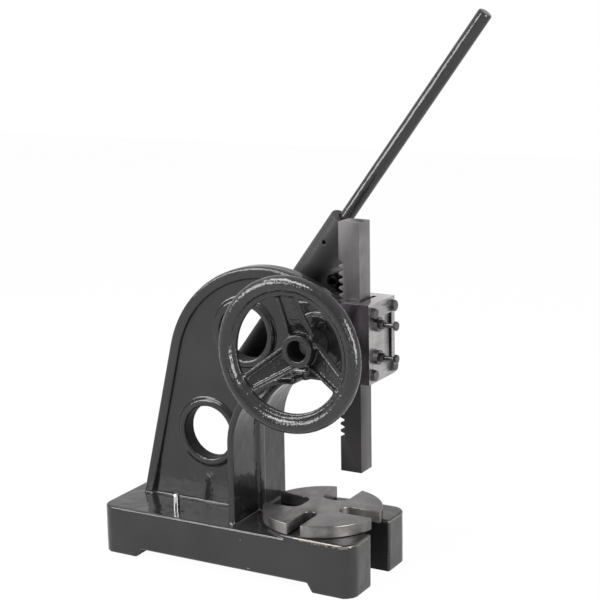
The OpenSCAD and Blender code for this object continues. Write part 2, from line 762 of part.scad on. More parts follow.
module handwheel() color(paint) difference() {
    on_near_axis() {
        translate([0, 0, -hub_back_y]) cylinder(r = hub_r, h = hub_face_y + hub_back_y);
        translate([0, 0, wheel_y]) rotate_extrude() {
            translate([wheel_r, 0]) circle(r = wheel_rim_r);
            translate([wheel_r - wheel_rim_r - wheel_lip, wheel_lip_front - wheel_lip_t])
                square([wheel_rim_r + wheel_lip, wheel_lip_t]);
        }
        for (i = [0:2]) rotate([0, 0, spoke_angle + 120 * i]) wheel_spoke();
    }
    y_bar(axis_x, axis_z, -wheel_y - wheel_rim_r, hub_back_y + past, shaft_r + seat_gap);
    key_bar(-wheel_y - wheel_rim_r, hub_back_y + past, seat_gap);
    x_bar(hub_screw_y, axis_z, axis_x - hub_r - past, axis_x, hub_screw_r + seat_gap);
}

module handwheel_key() color(dark_steel)
    key_bar(wheel_key_y0, wheel_key_y1, 0);

module handwheel_set_screw() color(black_steel)
    difference() {
        x_bar(hub_screw_y, axis_z, axis_x - hub_r + 0.5, axis_x - shaft_r, hub_screw_r);
        x_hex(hub_screw_y, axis_z, axis_x - hub_r - past, axis_x - hub_r + 4, hub_screw_r);
    }

module ratchet_wheel() color(dark_steel) difference() {
    translate([axis_x, ratchet_y + ratchet_t, axis_z]) rotate([90, 0, 0]) linear_extrude(height = ratchet_t)
        polygon([for (i = [0:ratchet_teeth - 1], r = [ratchet_r, ratchet_r - ratchet_depth])
            polar(r, i * 360 / ratchet_teeth)]);
    y_bar(axis_x, axis_z, ratchet_y - past, ratchet_y + ratchet_t + past, shaft_r + seat_gap);
    key_bar(ratchet_key_y0 - past, ratchet_key_y1 + past, seat_gap);
}

module ratchet_key() color(dark_steel)
    key_bar(ratchet_key_y0, ratchet_key_y1, 0);

module shaft_end_washer() color(steel) difference() {
    y_bar(axis_x, axis_z, shaft_y1, shaft_y1 + end_washer_t, end_washer_r);
    y_bar(axis_x, axis_z, shaft_y1 - past, shaft_y1 + end_washer_t + past, end_bolt_r + bolt_gap);
}

module shaft_end_bolt() color(black_steel) {
    y_bar(axis_x, axis_z, shaft_y1 - end_bolt_l, shaft_y1 + end_washer_t + root, end_bolt_r);
    translate([axis_x, shaft_y1 + end_washer_t, axis_z]) rotate([-90, 0, 0])
        cylinder(r = end_bolt_head_r, h = end_bolt_head_t, $fn = 6);
}

socket_end = 6;

module lever_casting() color(paint) on_lever() difference() {
    union() {
        y_bar(0, 0, lever_hub_y, lever_hub_y + lever_hub_l, lever_hub_r);
        xz_plate(
            [[-lever_hub_r, 0], [lever_hub_r, 0], [socket_up - 28, lever_offset], [-60, lever_offset]],
            arm_y0, arm_y1
        );
        y_bar(pawl_u, pawl_v, arm_y0 - 2, arm_y1 + 4, pawl_eye_r + 2);
        x_bar(socket_y, lever_offset, -socket_down + socket_end, socket_up - socket_end, socket_r);
        translate([socket_up - socket_end, socket_y, lever_offset]) rotate([0, 90, 0])
            cylinder(r1 = socket_r, r2 = socket_r - 4, h = socket_end);
        translate([-socket_down, socket_y, lever_offset]) rotate([0, 90, 0])
            cylinder(r1 = socket_r - 4, r2 = socket_r, h = socket_end);
    }
    y_bar(0, 0, lever_hub_y - past, lever_hub_y + lever_hub_l + past, lever_bush_r + seat_gap);
    y_bar(pawl_u, pawl_v, arm_y0 - 2 - past, arm_y1 + 4 + past, pawl_pin_r + seat_gap);
    x_bar(socket_y, lever_offset, socket_up - handle_grip_depth, socket_up + past, handle_r + seat_gap);
    y_bar(set_screw_u, lever_offset, socket_y - socket_r - past, socket_y, set_screw_r + seat_gap);
}

module lever_bush() color(bronze) difference() {
    y_bar(axis_x, axis_z, lever_hub_y, lever_hub_y + lever_hub_l, lever_bush_r);
    y_bar(axis_x, axis_z, lever_hub_y - past, lever_hub_y + lever_hub_l + past, shaft_r + run_gap);
}

module handle_bar() color(paint) on_lever() {
    x_bar(socket_y, lever_offset, socket_up - handle_grip_depth, handle_reach - 4, handle_r);
    translate([handle_reach - 4, socket_y, lever_offset]) rotate([0, 90, 0])
        cylinder(r1 = handle_r, r2 = handle_r - 3, h = 4);
}

module handle_set_screw() color(black_steel) on_lever()
    y_bar(set_screw_u, lever_offset, socket_y - socket_r + 8, socket_y - handle_r, set_screw_r);

// Tip of the parked pawl, just outside the ratchet teeth
pawl_tip_angle = 33;
pawl_tip = polar(ratchet_r + pawl_clear, pawl_tip_angle);
pawl_y0 = ratchet_y + 0.5;
pawl_y1 = arm_y0 - 2 - face_gap;

// Ball knob that lifts the pawl, its stem set into the pawl's front edge
knob_r = 6;
knob_stem_r = 3;
knob_u0 = pawl_u + 3;
knob_v = pawl_v - 17;
knob_y = (pawl_y0 + pawl_y1) / 2;

module pawl() color(black_steel) on_lever() difference() {
    union() {
        y_bar(pawl_u, pawl_v, pawl_y0, pawl_y1, pawl_eye_r);
        xz_plate(
            [[pawl_u - pawl_eye_r + 2, pawl_v - 6], [pawl_u + pawl_eye_r - 1, pawl_v - 4],
             [pawl_u + 9, pawl_tip[1] + 16], pawl_tip, [pawl_tip[0] - 3, pawl_tip[1] + 8]],
            pawl_y0, pawl_y1
        );
    }
    y_bar(pawl_u, pawl_v, pawl_y0 - past, pawl_y1 + past, pawl_pin_r + run_gap);
    x_bar(knob_y, knob_v, knob_u0, knob_u0 + pawl_eye_r, knob_stem_r + seat_gap);
}

module pawl_lift_knob() color(black_steel) on_lever() {
    x_bar(knob_y, knob_v, knob_u0, knob_u0 + 25, knob_stem_r);
    translate([knob_u0 + 29, knob_y, knob_v]) sphere(r = knob_r);
}

module pawl_pin() color(steel) on_lever() {
    y_bar(pawl_u, pawl_v, pawl_y0 - ring_t - pawl_pin_end, arm_y1 + 4, pawl_pin_r);
}

module pawl_pin_ring() color(black_steel) on_lever() difference() {
    y_bar(pawl_u, pawl_v, pawl_y0 - ring_t - face_gap, pawl_y0 - face_gap, pawl_pin_r + 4);
    y_bar(pawl_u, pawl_v, pawl_y0 - ring_t - 2 * past, pawl_y0 + past, pawl_pin_r + seat_gap);
}

frame_casting();
base_peg();
table_pivot_pin();
table_plate();
ram_cap();
cap_bolts();
cap_washers();
gib_strip();
gib_screws();
gib_lock_nuts();
gib_washers();
near_bush();
near_bush_bolts();
far_bush();
ram();
pinion_shaft();
handwheel();
handwheel_key();
handwheel_set_screw();
ratchet_wheel();
ratchet_key();
shaft_end_washer();
shaft_end_bolt();
lever_casting();
lever_bush();
handle_bar();
handle_set_screw();
pawl();
pawl_lift_knob();
pawl_pin();
pawl_pin_ring();
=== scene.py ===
import math

import bmesh
import bpy
import numpy as np
from mathutils import Matrix, Vector


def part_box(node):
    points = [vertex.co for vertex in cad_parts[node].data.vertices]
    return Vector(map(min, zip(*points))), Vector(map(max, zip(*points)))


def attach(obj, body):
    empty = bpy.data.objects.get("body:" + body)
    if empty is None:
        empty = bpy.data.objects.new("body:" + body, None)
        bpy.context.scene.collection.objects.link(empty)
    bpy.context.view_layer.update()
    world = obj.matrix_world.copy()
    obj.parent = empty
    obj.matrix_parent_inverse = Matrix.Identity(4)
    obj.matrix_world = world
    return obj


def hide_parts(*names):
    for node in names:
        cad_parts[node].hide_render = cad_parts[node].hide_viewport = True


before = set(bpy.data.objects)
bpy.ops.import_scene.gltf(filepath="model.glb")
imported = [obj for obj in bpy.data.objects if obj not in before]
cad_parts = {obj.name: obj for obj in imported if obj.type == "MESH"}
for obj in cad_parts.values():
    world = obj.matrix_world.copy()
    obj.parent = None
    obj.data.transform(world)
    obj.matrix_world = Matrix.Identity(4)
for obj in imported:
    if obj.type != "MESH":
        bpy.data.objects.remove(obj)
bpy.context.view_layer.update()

# Studio: the press stands on a white sweep, lit by softboxes at its left, over it, ahead and by the camera.
# The camera is a long lens at the front left, a little above the table; its shift repeats the framing.
scene = bpy.context.scene
scene.view_settings.view_transform = "Standard"
view_target = Vector((0.1279, 0.0, 0.5152))
view_distance = 2.6157
view_azimuth = math.radians(29.2)
view_height = math.radians(11.544)
view_roll = math.radians(-0.94)
view_back = Vector((
    math.sin(view_azimuth) * math.cos(view_height),
    -math.cos(view_azimuth) * math.cos(view_height),
    math.sin(view_height),
))
camera = bpy.data.objects.new("camera", bpy.data.cameras.new("camera"))
scene.collection.objects.link(camera)
camera.data.lens = 90.75
camera.data.sensor_width = 36.0
camera.data.shift_x = -0.0165
camera.data.shift_y = -0.0244
camera.data.clip_end = 50.0
camera.location = view_target + view_distance * view_back
camera.rotation_mode = "QUATERNION"
camera.rotation_quaternion = (
    view_back.to_track_quat("Z", "Y") @ Matrix.Rotation(view_roll, 3, "Z").to_quaternion()
)
scene.camera = camera


def link(tree, source, target):
    """Joins an output socket to an input socket of a node tree."""
    tree.links.new(source, target)


def seen_directly(tree):
    """Factor that is 1 for rays from the camera and for mirror and glass rays, and 0 for soft light."""
    path = tree.nodes.new("ShaderNodeLightPath")
    first = tree.nodes.new("ShaderNodeMath")
    first.operation = "MAXIMUM"
    link(tree, path.outputs["Is Camera Ray"], first.inputs[0])
    link(tree, path.outputs["Is Glossy Ray"], first.inputs[1])
    second = tree.nodes.new("ShaderNodeMath")
    second.operation = "MAXIMUM"
    link(tree, first.outputs[0], second.inputs[0])
    link(tree, path.outputs["Is Transmission Ray"], second.inputs[1])
    return second.outputs[0]


def tones(tree, factor, *stops):
    """Colour or grey level that follows a factor through the given stops."""
    ramp = tree.nodes.new("ShaderNodeValToRGB")
    marks = ramp.color_ramp.elements
    while len(marks) < len(stops):
        marks.new(0.5)
    for mark, (position, colour) in zip(marks, stops):
        mark.position = position
        mark.color = (*colour, 1.0)
    link(tree, factor, ramp.inputs["Fac"])
    return ramp.outputs["Color"]


def grey(level):
    """The same level for red, green and blue."""
    return (level, level, level)


sky_level = 0.60
world = bpy.data.worlds.new("studio")
world.use_nodes = True
scene.world = world
sky = world.node_tree
sky.nodes.clear()
soft_sky = sky.nodes.new("ShaderNodeBackground")
soft_sky.inputs["Color"].default_value = (1.0, 1.0, 1.0, 1.0)
soft_sky.inputs["Strength"].default_value = sky_level
white_sky = sky.nodes.new("ShaderNodeBackground")
white_sky.inputs["Strength"].default_value = 1.0
# The camera sees a white sky; polished faces see it greyer on the near side and a little at the far end
sky_way = sky.nodes.new("ShaderNodeTexCoord")
sky_parts = sky.nodes.new("ShaderNodeSeparateXYZ")
link(sky, sky_way.outputs["Generated"], sky_parts.inputs[0])
far_share = sky.nodes.new("ShaderNodeMath")
far_share.operation = "MULTIPLY_ADD"
far_share.inputs[1].default_value = 0.5
far_share.inputs[2].default_value = 0.5
link(sky, sky_parts.outputs["Y"], far_share.inputs[0])
sky_path = sky.nodes.new("ShaderNodeLightPath")
sky_tint = sky.nodes.new("ShaderNodeMixRGB")
sky_tint.inputs["Color2"].default_value = (1.0, 1.0, 1.0, 1.0)
link(sky, sky_path.outputs["Is Camera Ray"], sky_tint.inputs["Fac"])
sky_tones = tones(sky, far_share.outputs[0], (0.05, grey(0.45)), (0.6, grey(1.0)), (0.9, grey(0.88)))
link(sky, sky_tones, sky_tint.inputs["Color1"])
link(sky, sky_tint.outputs["Color"], white_sky.inputs["Color"])
sky_mix = sky.nodes.new("ShaderNodeMixShader")
link(sky, seen_directly(sky), sky_mix.inputs[0])
link(sky, soft_sky.outputs[0], sky_mix.inputs[1])
link(sky, white_sky.outputs[0], sky_mix.inputs[2])
sky_out = sky.nodes.new("ShaderNodeOutputWorld")
link(sky, sky_mix.outputs[0], sky_out.inputs[0])


def softbox(name, place, width, height, power):
    """Rectangular studio lamp that faces the middle of the press."""
    lamp = bpy.data.lights.new(name, "AREA")
    lamp.shape = "RECTANGLE"
    lamp.size = width
    lamp.size_y = height
    lamp.energy = power
    holder = bpy.data.objects.new(name, lamp)
    holder.location = place
    holder.rotation_mode = "QUATERNION"
    holder.rotation_quaternion = (Vector(place) - view_target).to_track_quat("Z", "Y")
    scene.collection.objects.link(holder)


softbox("left_box", (-1.35, -1.56, 1.05), 1.2, 0.9, 34.0)
softbox("top_box", (-0.75, -1.2, 2.25), 1.8, 0.9, 66.0)
softbox("front_box", (2.1, -0.7, 0.82), 0.8, 1.6, 48.0)
softbox("camera_strip", (1.55, -2.51, 0.80), 0.14, 1.0, 4.0)

floor_half = 6.0
sweep_level = 0.92
sweep_white_share = 0.97
floor_mesh = bpy.data.meshes.new("floor")
floor_mesh.from_pydata(
    [(sx * floor_half, sy * floor_half, 0.0) for sx, sy in ((-1, -1), (1, -1), (1, 1), (-1, 1))],
    [], [(0, 1, 2, 3)],
)
floor = bpy.data.objects.new("floor", floor_mesh)
scene.collection.objects.link(floor)
floor_paint = bpy.data.materials.new("white_sweep")
floor_paint.use_nodes = True
sweep = floor_paint.node_tree
sweep.nodes.clear()
sweep_matt = sweep.nodes.new("ShaderNodeBsdfDiffuse")
sweep_matt.inputs["Color"].default_value = (*grey(sweep_level), 1.0)
sweep_white = sweep.nodes.new("ShaderNodeEmission")
sweep_white.inputs["Strength"].default_value = 1.0
sweep_share = sweep.nodes.new("ShaderNodeMath")
sweep_share.operation = "MULTIPLY"
sweep_share.inputs[1].default_value = sweep_white_share
link(sweep, seen_directly(sweep), sweep_share.inputs[0])
sweep_mix = sweep.nodes.new("ShaderNodeMixShader")
link(sweep, sweep_share.outputs[0], sweep_mix.inputs[0])
link(sweep, sweep_matt.outputs[0], sweep_mix.inputs[1])
link(sweep, sweep_white.outputs[0], sweep_mix.inputs[2])
sweep_out = sweep.nodes.new("ShaderNodeOutputMaterial")
link(sweep, sweep_mix.outputs[0], sweep_out.inputs[0])
floor_mesh.materials.append(floor_paint)

# Frame casting: one grey iron casting with the hollow base, the webbed column and the head round the ram.
# Its inner corners are filleted and its edges rounded as a sand mould leaves them, under dark gloss enamel.
# The faces inside the base, its slot and the windows are near black as painted shade, and the table's seat is
# bare at its side.
casting_low, casting_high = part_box("frame_casting")
table_low, table_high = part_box("table_plate")
ram_low, ram_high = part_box("ram")
cap_low, cap_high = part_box("ram_cap")
table_place = ((table_low.x + table_high.x) / 2, 0.0)
ram_place = ((ram_low.x + ram_high.x) / 2, 0.0)
near_bush_low, near_bush_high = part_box("near_bush")
pinion_place = ((near_bush_low.x + near_bush_high.x) / 2, (near_bush_low.z + near_bush_high.z) / 2)
base_half_length = casting_high.x
base_half_width = casting_high.y
base_top = 0.090
base_corner = 0.026
base_edge = 0.004
seat_gap = 0.0003
seat_top = table_low.z - seat_gap
seat_root = base_top - 0.020
seat_edge = 0.002
column_front = ram_place[0] - 0.1965
column_root = base_top - 0.010
column_fillet = 0.005
flange_thickness = 0.012
flange_half = 0.092
flange_edge = 0.003
flange_fillet = 0.007
throat_radius = 0.125
head_bottom = 0.361
head_top = 0.498
head_back = ram_place[0] - 0.0985
head_half = cap_high.y
head_edge = 0.004
head_fillet = 0.010
joint_front = cap_low.x
crown_radius = 0.206
crown_place = (column_front + 0.024, casting_high.z - crown_radius)
rear_foot = (column_front - 0.247, base_top)
rim_width = 0.020
rim_half = 0.017
rim_edge = 0.0035
web_half = 0.010
window_radius = 0.049
window_ring = 0.063
ring_half = 0.016
ring_edge = 0.004
window_places = (
    (column_front - flange_thickness - window_ring - 0.0265, base_top + 0.136),
    (crown_place[0] - 0.044, crown_place[1] + 0.084),
)
boss_radius = 0.0475
near_boss_end = 0.066
far_boss_end = 0.062
boss_root = head_half - 0.004
boss_edge = 0.002
boss_fillet = 0.006
bush_radius = 0.031
guide_bottom = 0.300
ram_play = 0.0001
slot_half = 0.0355
slot_ceiling = 0.200
base_wall = 0.016
hollow_back = 0.075 - base_half_length
hollow_front = ram_place[0] - slot_half - base_wall
hollow_half_width = base_half_width - base_wall
hollow_top = 0.066
arch_front = base_half_length - 0.078
arch_top = 0.016
arch_slant = 0.010
bench_hole_places = [(sx * 0.225, sy * 0.075) for sx in (-1, 1) for sy in (-1, 1)]
bench_hole_radius = 0.0051
bench_hole_top = 0.028
cut_edge = 0.004
shade_inset = 0.004
wall_reach = 0.0015
casting_triangles = 190000


def grid(low, high, step):
    """Sample points of a box with a little room round it, as three arrays that spread over each other."""
    axes = [np.arange(a - 2 * step, b + 3 * step, step, dtype=np.float32) for a, b in zip(low, high)]
    return np.meshgrid(*axes, indexing="ij", sparse=True)


def disc(a, b, middle, radius):
    """Distance outside a circle, or outside a round bar that runs along the third direction."""
    return np.hypot(a - middle[0], b - middle[1]) - radius


def between(a, start, end):
    """Distance outside the space between two parallel planes."""
    return abs(a - (start + end) / 2) - (end - start) / 2


def every(*fields):
    """Space that all of the shapes share."""
    shared = fields[0]
    for field in fields[1:]:
        shared = np.maximum(shared, field)
    return shared


def any_of(*fields):
    """Space that at least one of the shapes fills."""
    filled = fields[0]
    for field in fields[1:]:
        filled = np.minimum(filled, field)
    return filled


def rounded(a, b, radius):
    """Space inside both shapes, with the edge where they meet rounded."""
    out_a = a + radius
    out_b = b + radius
    outside = np.hypot(np.maximum(out_a, 0), np.maximum(out_b, 0))
    return outside + np.minimum(np.maximum(out_a, out_b), 0) - radius


def melt(a, b, fillet):
    """Space inside either shape, with a fillet in the corner between them."""
    share = np.clip(0.5 + 0.5 * (b - a) / fillet, 0, 1)
    return b + (a - b) * share - fillet * share * (1 - share)


def carve(body, hole, softness):
    """A body with a hole cut out of it and the hole's edges softened."""
    return -melt(-body, hole, softness)


def skin(name, field, axes, turn=None):
    """Closed mesh over the surface of a solid that is given by its distance field."""
    inside = field < 0
    shape = np.array(field.shape)
    starts = np.array([axis.min() for axis in axes])
    pitch = float(axes[0].ravel()[1] - axes[0].ravel()[0])
    corners = [(i, j, k) for i in (0, 1) for j in (0, 1) for k in (0, 1)]
    filled = sum(
        inside[i:shape[0] - 1 + i, j:shape[1] - 1 + j, k:shape[2] - 1 + k].astype(np.int8)
        for i, j, k in corners
    )
    crossed = (filled > 0) & (filled < len(corners))
    cells = np.argwhere(crossed)
    number = np.full(crossed.shape, -1, np.int64)
    number[crossed] = np.arange(len(cells))
    level = {c: field[cells[:, 0] + c[0], cells[:, 1] + c[1], cells[:, 2] + c[2]] for c in corners}
    total = np.zeros((len(cells), 3))
    hits = np.zeros(len(cells))
    for c in corners:
        for axis in range(3):
            if c[axis]:
                continue
            end = tuple(v + (n == axis) for n, v in enumerate(c))
            cut = (level[c] < 0) != (level[end] < 0)
            along = np.where(cut, level[c] / np.where(cut, level[c] - level[end], 1), 0)
            point = np.tile(np.array(c, float), (len(cells), 1))
            point[:, axis] += along
            total += point * cut[:, None]
            hits += cut
    points = starts + (cells + total / hits[:, None]) * pitch
    if turn is not None:
        points = points @ np.array(turn.to_3x3()).T + np.array(turn.translation)
    faces = []
    for axis in range(3):
        side, up = (axis + 1) % 3, (axis + 2) % 3
        low = np.take(inside, range(shape[axis] - 1), axis)
        high = np.take(inside, range(1, shape[axis]), axis)
        edges = np.argwhere(low != high)
        kept = np.ones(len(edges), bool)
        for across in (side, up):
            kept &= (edges[:, across] > 0) & (edges[:, across] < shape[across] - 1)
        edges = edges[kept]
        ring = []
        for a, b in ((-1, -1), (0, -1), (0, 0), (-1, 0)):
            cell = edges.copy()
            cell[:, side] += a
            cell[:, up] += b
            ring.append(number[cell[:, 0], cell[:, 1], cell[:, 2]])
        quads = np.stack(ring, 1)
        outward = low[edges[:, 0], edges[:, 1], edges[:, 2]]
        faces.append(np.where(outward[:, None], quads, quads[:, ::-1]))
    faces = np.concatenate(faces)
    mesh = bpy.data.meshes.new(name)
    mesh.from_pydata(points.tolist(), [], faces.tolist())
    mesh.update()
    return mesh


def piece(name, mesh, *finishes):
    """New object at the origin that shows a mesh in the given finishes."""
    thing = bpy.data.objects.new(name, mesh)
    scene.collection.objects.link(thing)
    for finish in finishes:
        mesh.materials.append(finish)
    return thing


def settle(thing):
    """Turns an object's modifiers into plain mesh."""
    depsgraph = bpy.context.evaluated_depsgraph_get()
    made = bpy.data.meshes.new_from_object(thing.evaluated_get(depsgraph))
    thing.modifiers.clear()
    thing.data = made


def thin_out(thing, triangles):
    """Merges small faces to about a number of triangles; the large faces then lead the shading."""
    now = 2 * len(thing.data.polygons)
    if now > triangles:
        fewer = thing.modifiers.new("fewer", "DECIMATE")
        fewer.ratio = triangles / now
        settle(thing)
    for face in thing.data.polygons:
        face.use_smooth = True
    smooth = thing.modifiers.new("smooth", "WEIGHTED_NORMAL")
    smooth.mode = "FACE_AREA"
    smooth.weight = 60
    settle(thing)


def stands_for(thing, body, slot, *nodes):
    """Puts a finished piece on its body in place of its solids."""
    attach(thing, body)
    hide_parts(*nodes)


def finish_tree(name):
    """New material with a surface shader, and its object coordinates."""
    material = bpy.data.materials.new(name)
    material.use_nodes = True
    tree = material.node_tree
    shader = tree.nodes["Principled BSDF"]
    place = tree.nodes.new("ShaderNodeTexCoord")
    return material, tree, shader, place.outputs["Object"]


def grain(tree, place, scale, detail=3.0, stretch=None):
    """Noise at a scale in cells a metre, drawn out along some direction if asked."""
    noise = tree.nodes.new("ShaderNodeTexNoise")
    noise.inputs["Scale"].default_value = scale
    noise.inputs["Detail"].default_value = detail
    if stretch:
        mapping = tree.nodes.new("ShaderNodeMapping")
        mapping.inputs["Scale"].default_value = stretch
        link(tree, place, mapping.inputs["Vector"])
        place = mapping.outputs["Vector"]
    link(tree, place, noise.inputs["Vector"])
    return noise.outputs["Fac"]


def relief(tree, shader, *layers):
    """Bumps the surface by several height patterns, each with its depth in metres."""
    normal = None
    for height, depth in layers:
        bump = tree.nodes.new("ShaderNodeBump")
        bump.inputs["Distance"].default_value = depth
        bump.inputs["Strength"].default_value = 1.0
        link(tree, height, bump.inputs["Height"])
        if normal is not None:
            link(tree, normal, bump.inputs["Normal"])
        normal = bump.outputs["Normal"]
    link(tree, normal, shader.inputs["Normal"])


def brushed_on(name, dark, light, rough_low, rough_high, shine, *waves):
    """Enamel with drifting tone and gloss, and waves that each have a scale, a detail and a depth."""
    material, tree, shader, place = finish_tree(name)
    tone = tones(tree, grain(tree, place, 9.0, 5.0), (0.35, dark), (0.68, light))
    gloss = tones(tree, grain(tree, place, 60.0), (0.3, grey(rough_low)), (0.75, grey(rough_high)))
    link(tree, tone, shader.inputs["Base Color"])
    link(tree, gloss, shader.inputs["Roughness"])
    shader.inputs["Specular IOR Level"].default_value = shine
    relief(tree, shader, *((grain(tree, place, scale, detail), depth) for scale, detail, depth in waves))
    return material


def iron(name, dark, light, metallic, roughness, shine):
    """Iron with mottled tone: bare for the table's seat, and near black where it stands for painted shade."""
    material, tree, shader, place = finish_tree(name)
    mottle = tones(tree, grain(tree, place, 40.0, 4.0), (0.3, dark), (0.7, light))
    link(tree, mottle, shader.inputs["Base Color"])
    shader.inputs["Metallic"].default_value = metallic
    shader.inputs["Roughness"].default_value = roughness
    shader.inputs["Specular IOR Level"].default_value = shine
    return material


enamel_dark = (0.008, 0.008, 0.0087)
enamel_light = (0.013, 0.0128, 0.0138)
enamel = brushed_on("grey_enamel", enamel_dark, enamel_light, 0.11, 0.20, 0.5,
                    (20.0, 1.0, 0.002), (60.0, 2.0, 0.0008), (300.0, 1.0, 0.00005))
# Near-black iron for faces inside recesses and bores: painted shade, not a finish of the casting.
painted_shade_iron = iron("painted_shade_iron", grey(0.003), grey(0.006), 0.0, 0.6, 0.15)
seat_iron = iron("seat_iron", (0.13, 0.115, 0.10), (0.22, 0.195, 0.175), 0.9, 0.35, 0.5)

casting_pitch = 0.002
x, y, z = grid(casting_low, casting_high, casting_pitch)
footprint = rounded(abs(x) - base_half_length, abs(y) - base_half_width, base_corner)
base = rounded(footprint, z - base_top, base_edge)
pad_outline = np.where(x < table_place[0], disc(x, y, table_place, base_half_width), footprint)
pad = every(rounded(pad_outline, z - seat_top, seat_edge), seat_root - z)

# Side view of the column: a straight rear edge that runs up into the round crown
rise = (crown_place[0] - rear_foot[0], crown_place[1] - rear_foot[1])
rear_angle = math.atan2(rise[1], rise[0]) + math.asin(crown_radius / math.hypot(*rise))
rear_run = (math.cos(rear_angle), math.sin(rear_angle))
behind = (z - rear_foot[1]) * rear_run[0] - (x - rear_foot[0]) * rear_run[1]
touch = (crown_place[0] - crown_radius * rear_run[1], crown_place[1] + crown_radius * rear_run[0])
below_crown = (x - touch[0]) * rear_run[0] + (z - touch[1]) * rear_run[1] < 0
outline = np.where(below_crown, behind, disc(x, z, crown_place, crown_radius))

# Throat: upright front of the column, a quarter circle, and the underside of the head
throat_place = (column_front + throat_radius, head_bottom - throat_radius)
throat = np.where(z < throat_place[1], column_front - x, disc(x, z, throat_place, throat_radius))
throat = np.where(x > throat_place[0], z - head_bottom, throat)
column_space = every(-throat - flange_thickness / 2, x - joint_front, column_root - z)
web = every(outline, column_space, abs(y) - web_half)
rim = rounded(every(outline, -outline - rim_width, column_space), abs(y) - rim_half, rim_edge)
column = melt(web, rim, column_fillet)
for window in window_places:
    ring_shape = rounded(disc(x, z, window, window_ring), abs(y) - ring_half, ring_edge)
    column = melt(column, ring_shape, column_fillet)
flange = every(-throat, throat - flange_thickness, x - throat_place[0], column_root - z)
column = melt(column, rounded(flange, abs(y) - flange_half, flange_edge), flange_fillet)
head = rounded(every(head_back - x, head_bottom - z, z - head_top), abs(y) - head_half, head_edge)
column = melt(column, every(head, x - joint_front), head_fillet)
for start, end in ((-near_boss_end, -boss_root), (boss_root, far_boss_end)):
    boss = rounded(disc(x, z, pinion_place, boss_radius), between(y, start, end), boss_edge)
    column = melt(column, boss, boss_fillet)
casting = melt(any_of(base, pad), column, column_fillet)
for window in window_places:
    casting = carve(casting, disc(x, z, window, window_radius), cut_edge)
upper_half = guide_bottom - z
ram_way = every(ram_low.x - ram_play - x, abs(y) - ram_high.y - ram_play, upper_half)
casting = every(casting, -ram_way, -every(joint_front - x, upper_half))
casting = every(casting, -disc(x, z, pinion_place, bush_radius))
slot = any_of(disc(x, y, ram_place, slot_half), every(ram_place[0] - x, abs(y) - slot_half))
casting = carve(casting, every(slot, z - slot_ceiling), cut_edge)
hollow = every(hollow_back - x, x - hollow_front, abs(y) - hollow_half_width, z - hollow_top)
arch_draw = arch_slant * z / arch_top
arch = every(hollow_back + arch_draw - x, x - arch_front + arch_draw, z - arch_top)
casting = carve(casting, any_of(hollow, arch), cut_edge)
for hole in bench_hole_places:
    casting = every(casting, -every(disc(x, y, hole, bench_hole_radius), z - bench_hole_top))
casting = every(casting, -z)
frame_piece = piece("painted_frame", skin("painted_frame", casting, (x, y, z)), enamel, painted_shade_iron, seat_iron)
thin_out(frame_piece, casting_triangles)


def middles(thing):
    """Middles of a mesh's faces, one row each."""
    points = np.empty(3 * len(thing.data.polygons))
    thing.data.polygons.foreach_get("center", points)
    return points.reshape(-1, 3)


spots = middles(frame_piece)
from_side = rounded(abs(spots[:, 0]) - base_half_length, abs(spots[:, 1]) - base_half_width, base_corner)
# Faces inside the base, its slot and the windows take the near-black painted shade.
shaded_inner_faces = (from_side < -shade_inset) & (spots[:, 2] < base_top - base_edge)
for window in window_places:
    shaded_inner_faces |= disc(spots[:, 0], spots[:, 2], window, window_radius) < wall_reach
seat_height = seat_top - base_top
seat_band = seat_height * 0.3
seat_side = abs(spots[:, 2] - base_top - seat_height / 2) < seat_band
seat_faces = seat_side & (spots[:, 0] > table_place[0])
frame_piece.data.polygons.foreach_set("material_index", np.where(seat_faces, 2, shaded_inner_faces).astype(np.int32))
stands_for(frame_piece, "frame", "paint", "frame_casting")

# Near and far bearing bushes: flanged sleeves pressed into the bosses for the pinion shaft.
# Their flanges were painted along with the casting, so they show the same enamel.


def machined(name, node, edge, *finishes):
    """Copy of a solid with its edges broken as a machinist or a file leaves them."""
    shape = bmesh.new()
    shape.from_mesh(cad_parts[node].data)
    bmesh.ops.remove_doubles(shape, verts=shape.verts, dist=1e-6)
    bmesh.ops.dissolve_limit(shape, angle_limit=math.radians(0.3), verts=shape.verts, edges=shape.edges)
    mesh = bpy.data.meshes.new(name)
    shape.to_mesh(mesh)
    shape.free()
    thing = piece(name, mesh, *finishes)
    soft = thing.modifiers.new("edges", "BEVEL")
    soft.width = edge
    soft.segments = 2
    soft.limit_method = "ANGLE"
    soft.angle_limit = math.radians(40)
    soft.use_clamp_overlap = True
    settle(thing)
    for face in thing.data.polygons:
        face.use_smooth = True
    thing.data.set_sharp_from_angle(angle=math.radians(28))
    return thing


bush_edge = 0.001
for node in ("near_bush", "far_bush"):
    stands_for(machined("painted_" + node, node, bush_edge, enamel), "frame", "paint", node)

# Base peg: a short bright-turned pin that stands on the base beside the column, with a chamfered top.
# It is left unpainted and shows fine turning rings.


def turned(name, profile, axis_point, axis_direction, finish, steps=96):
    """Solid of revolution from (distance along, radius) points round an axis, closed at both ends."""
    shape = bmesh.new()
    axis_turn = Vector(axis_direction).to_track_quat("Z", "Y")
    rows = []
    for along, radius in profile:
        row = []
        for n in range(steps if radius > 0 else 1):
            angle = 2 * math.pi * n / steps
            point = Vector((radius * math.cos(angle), radius * math.sin(angle), along))
            row.append(shape.verts.new(Vector(axis_point) + axis_turn @ point))
        rows.append(row)
    for low_row, high_row in zip(rows, rows[1:]):
        for n in range(steps):
            m = (n + 1) % steps
            quad = [low_row[n % len(low_row)], low_row[m % len(low_row)],
                    high_row[m % len(high_row)], high_row[n % len(high_row)]]
            corners = list(dict.fromkeys(quad))
            shape.faces.new(corners)
    bmesh.ops.recalc_face_normals(shape, faces=shape.faces)
    mesh = bpy.data.meshes.new(name)
    shape.to_mesh(mesh)
    shape.free()
    for face in mesh.polygons:
        face.use_smooth = True
    mesh.set_sharp_from_angle(angle=math.radians(24))
    return piece(name, mesh, finish)


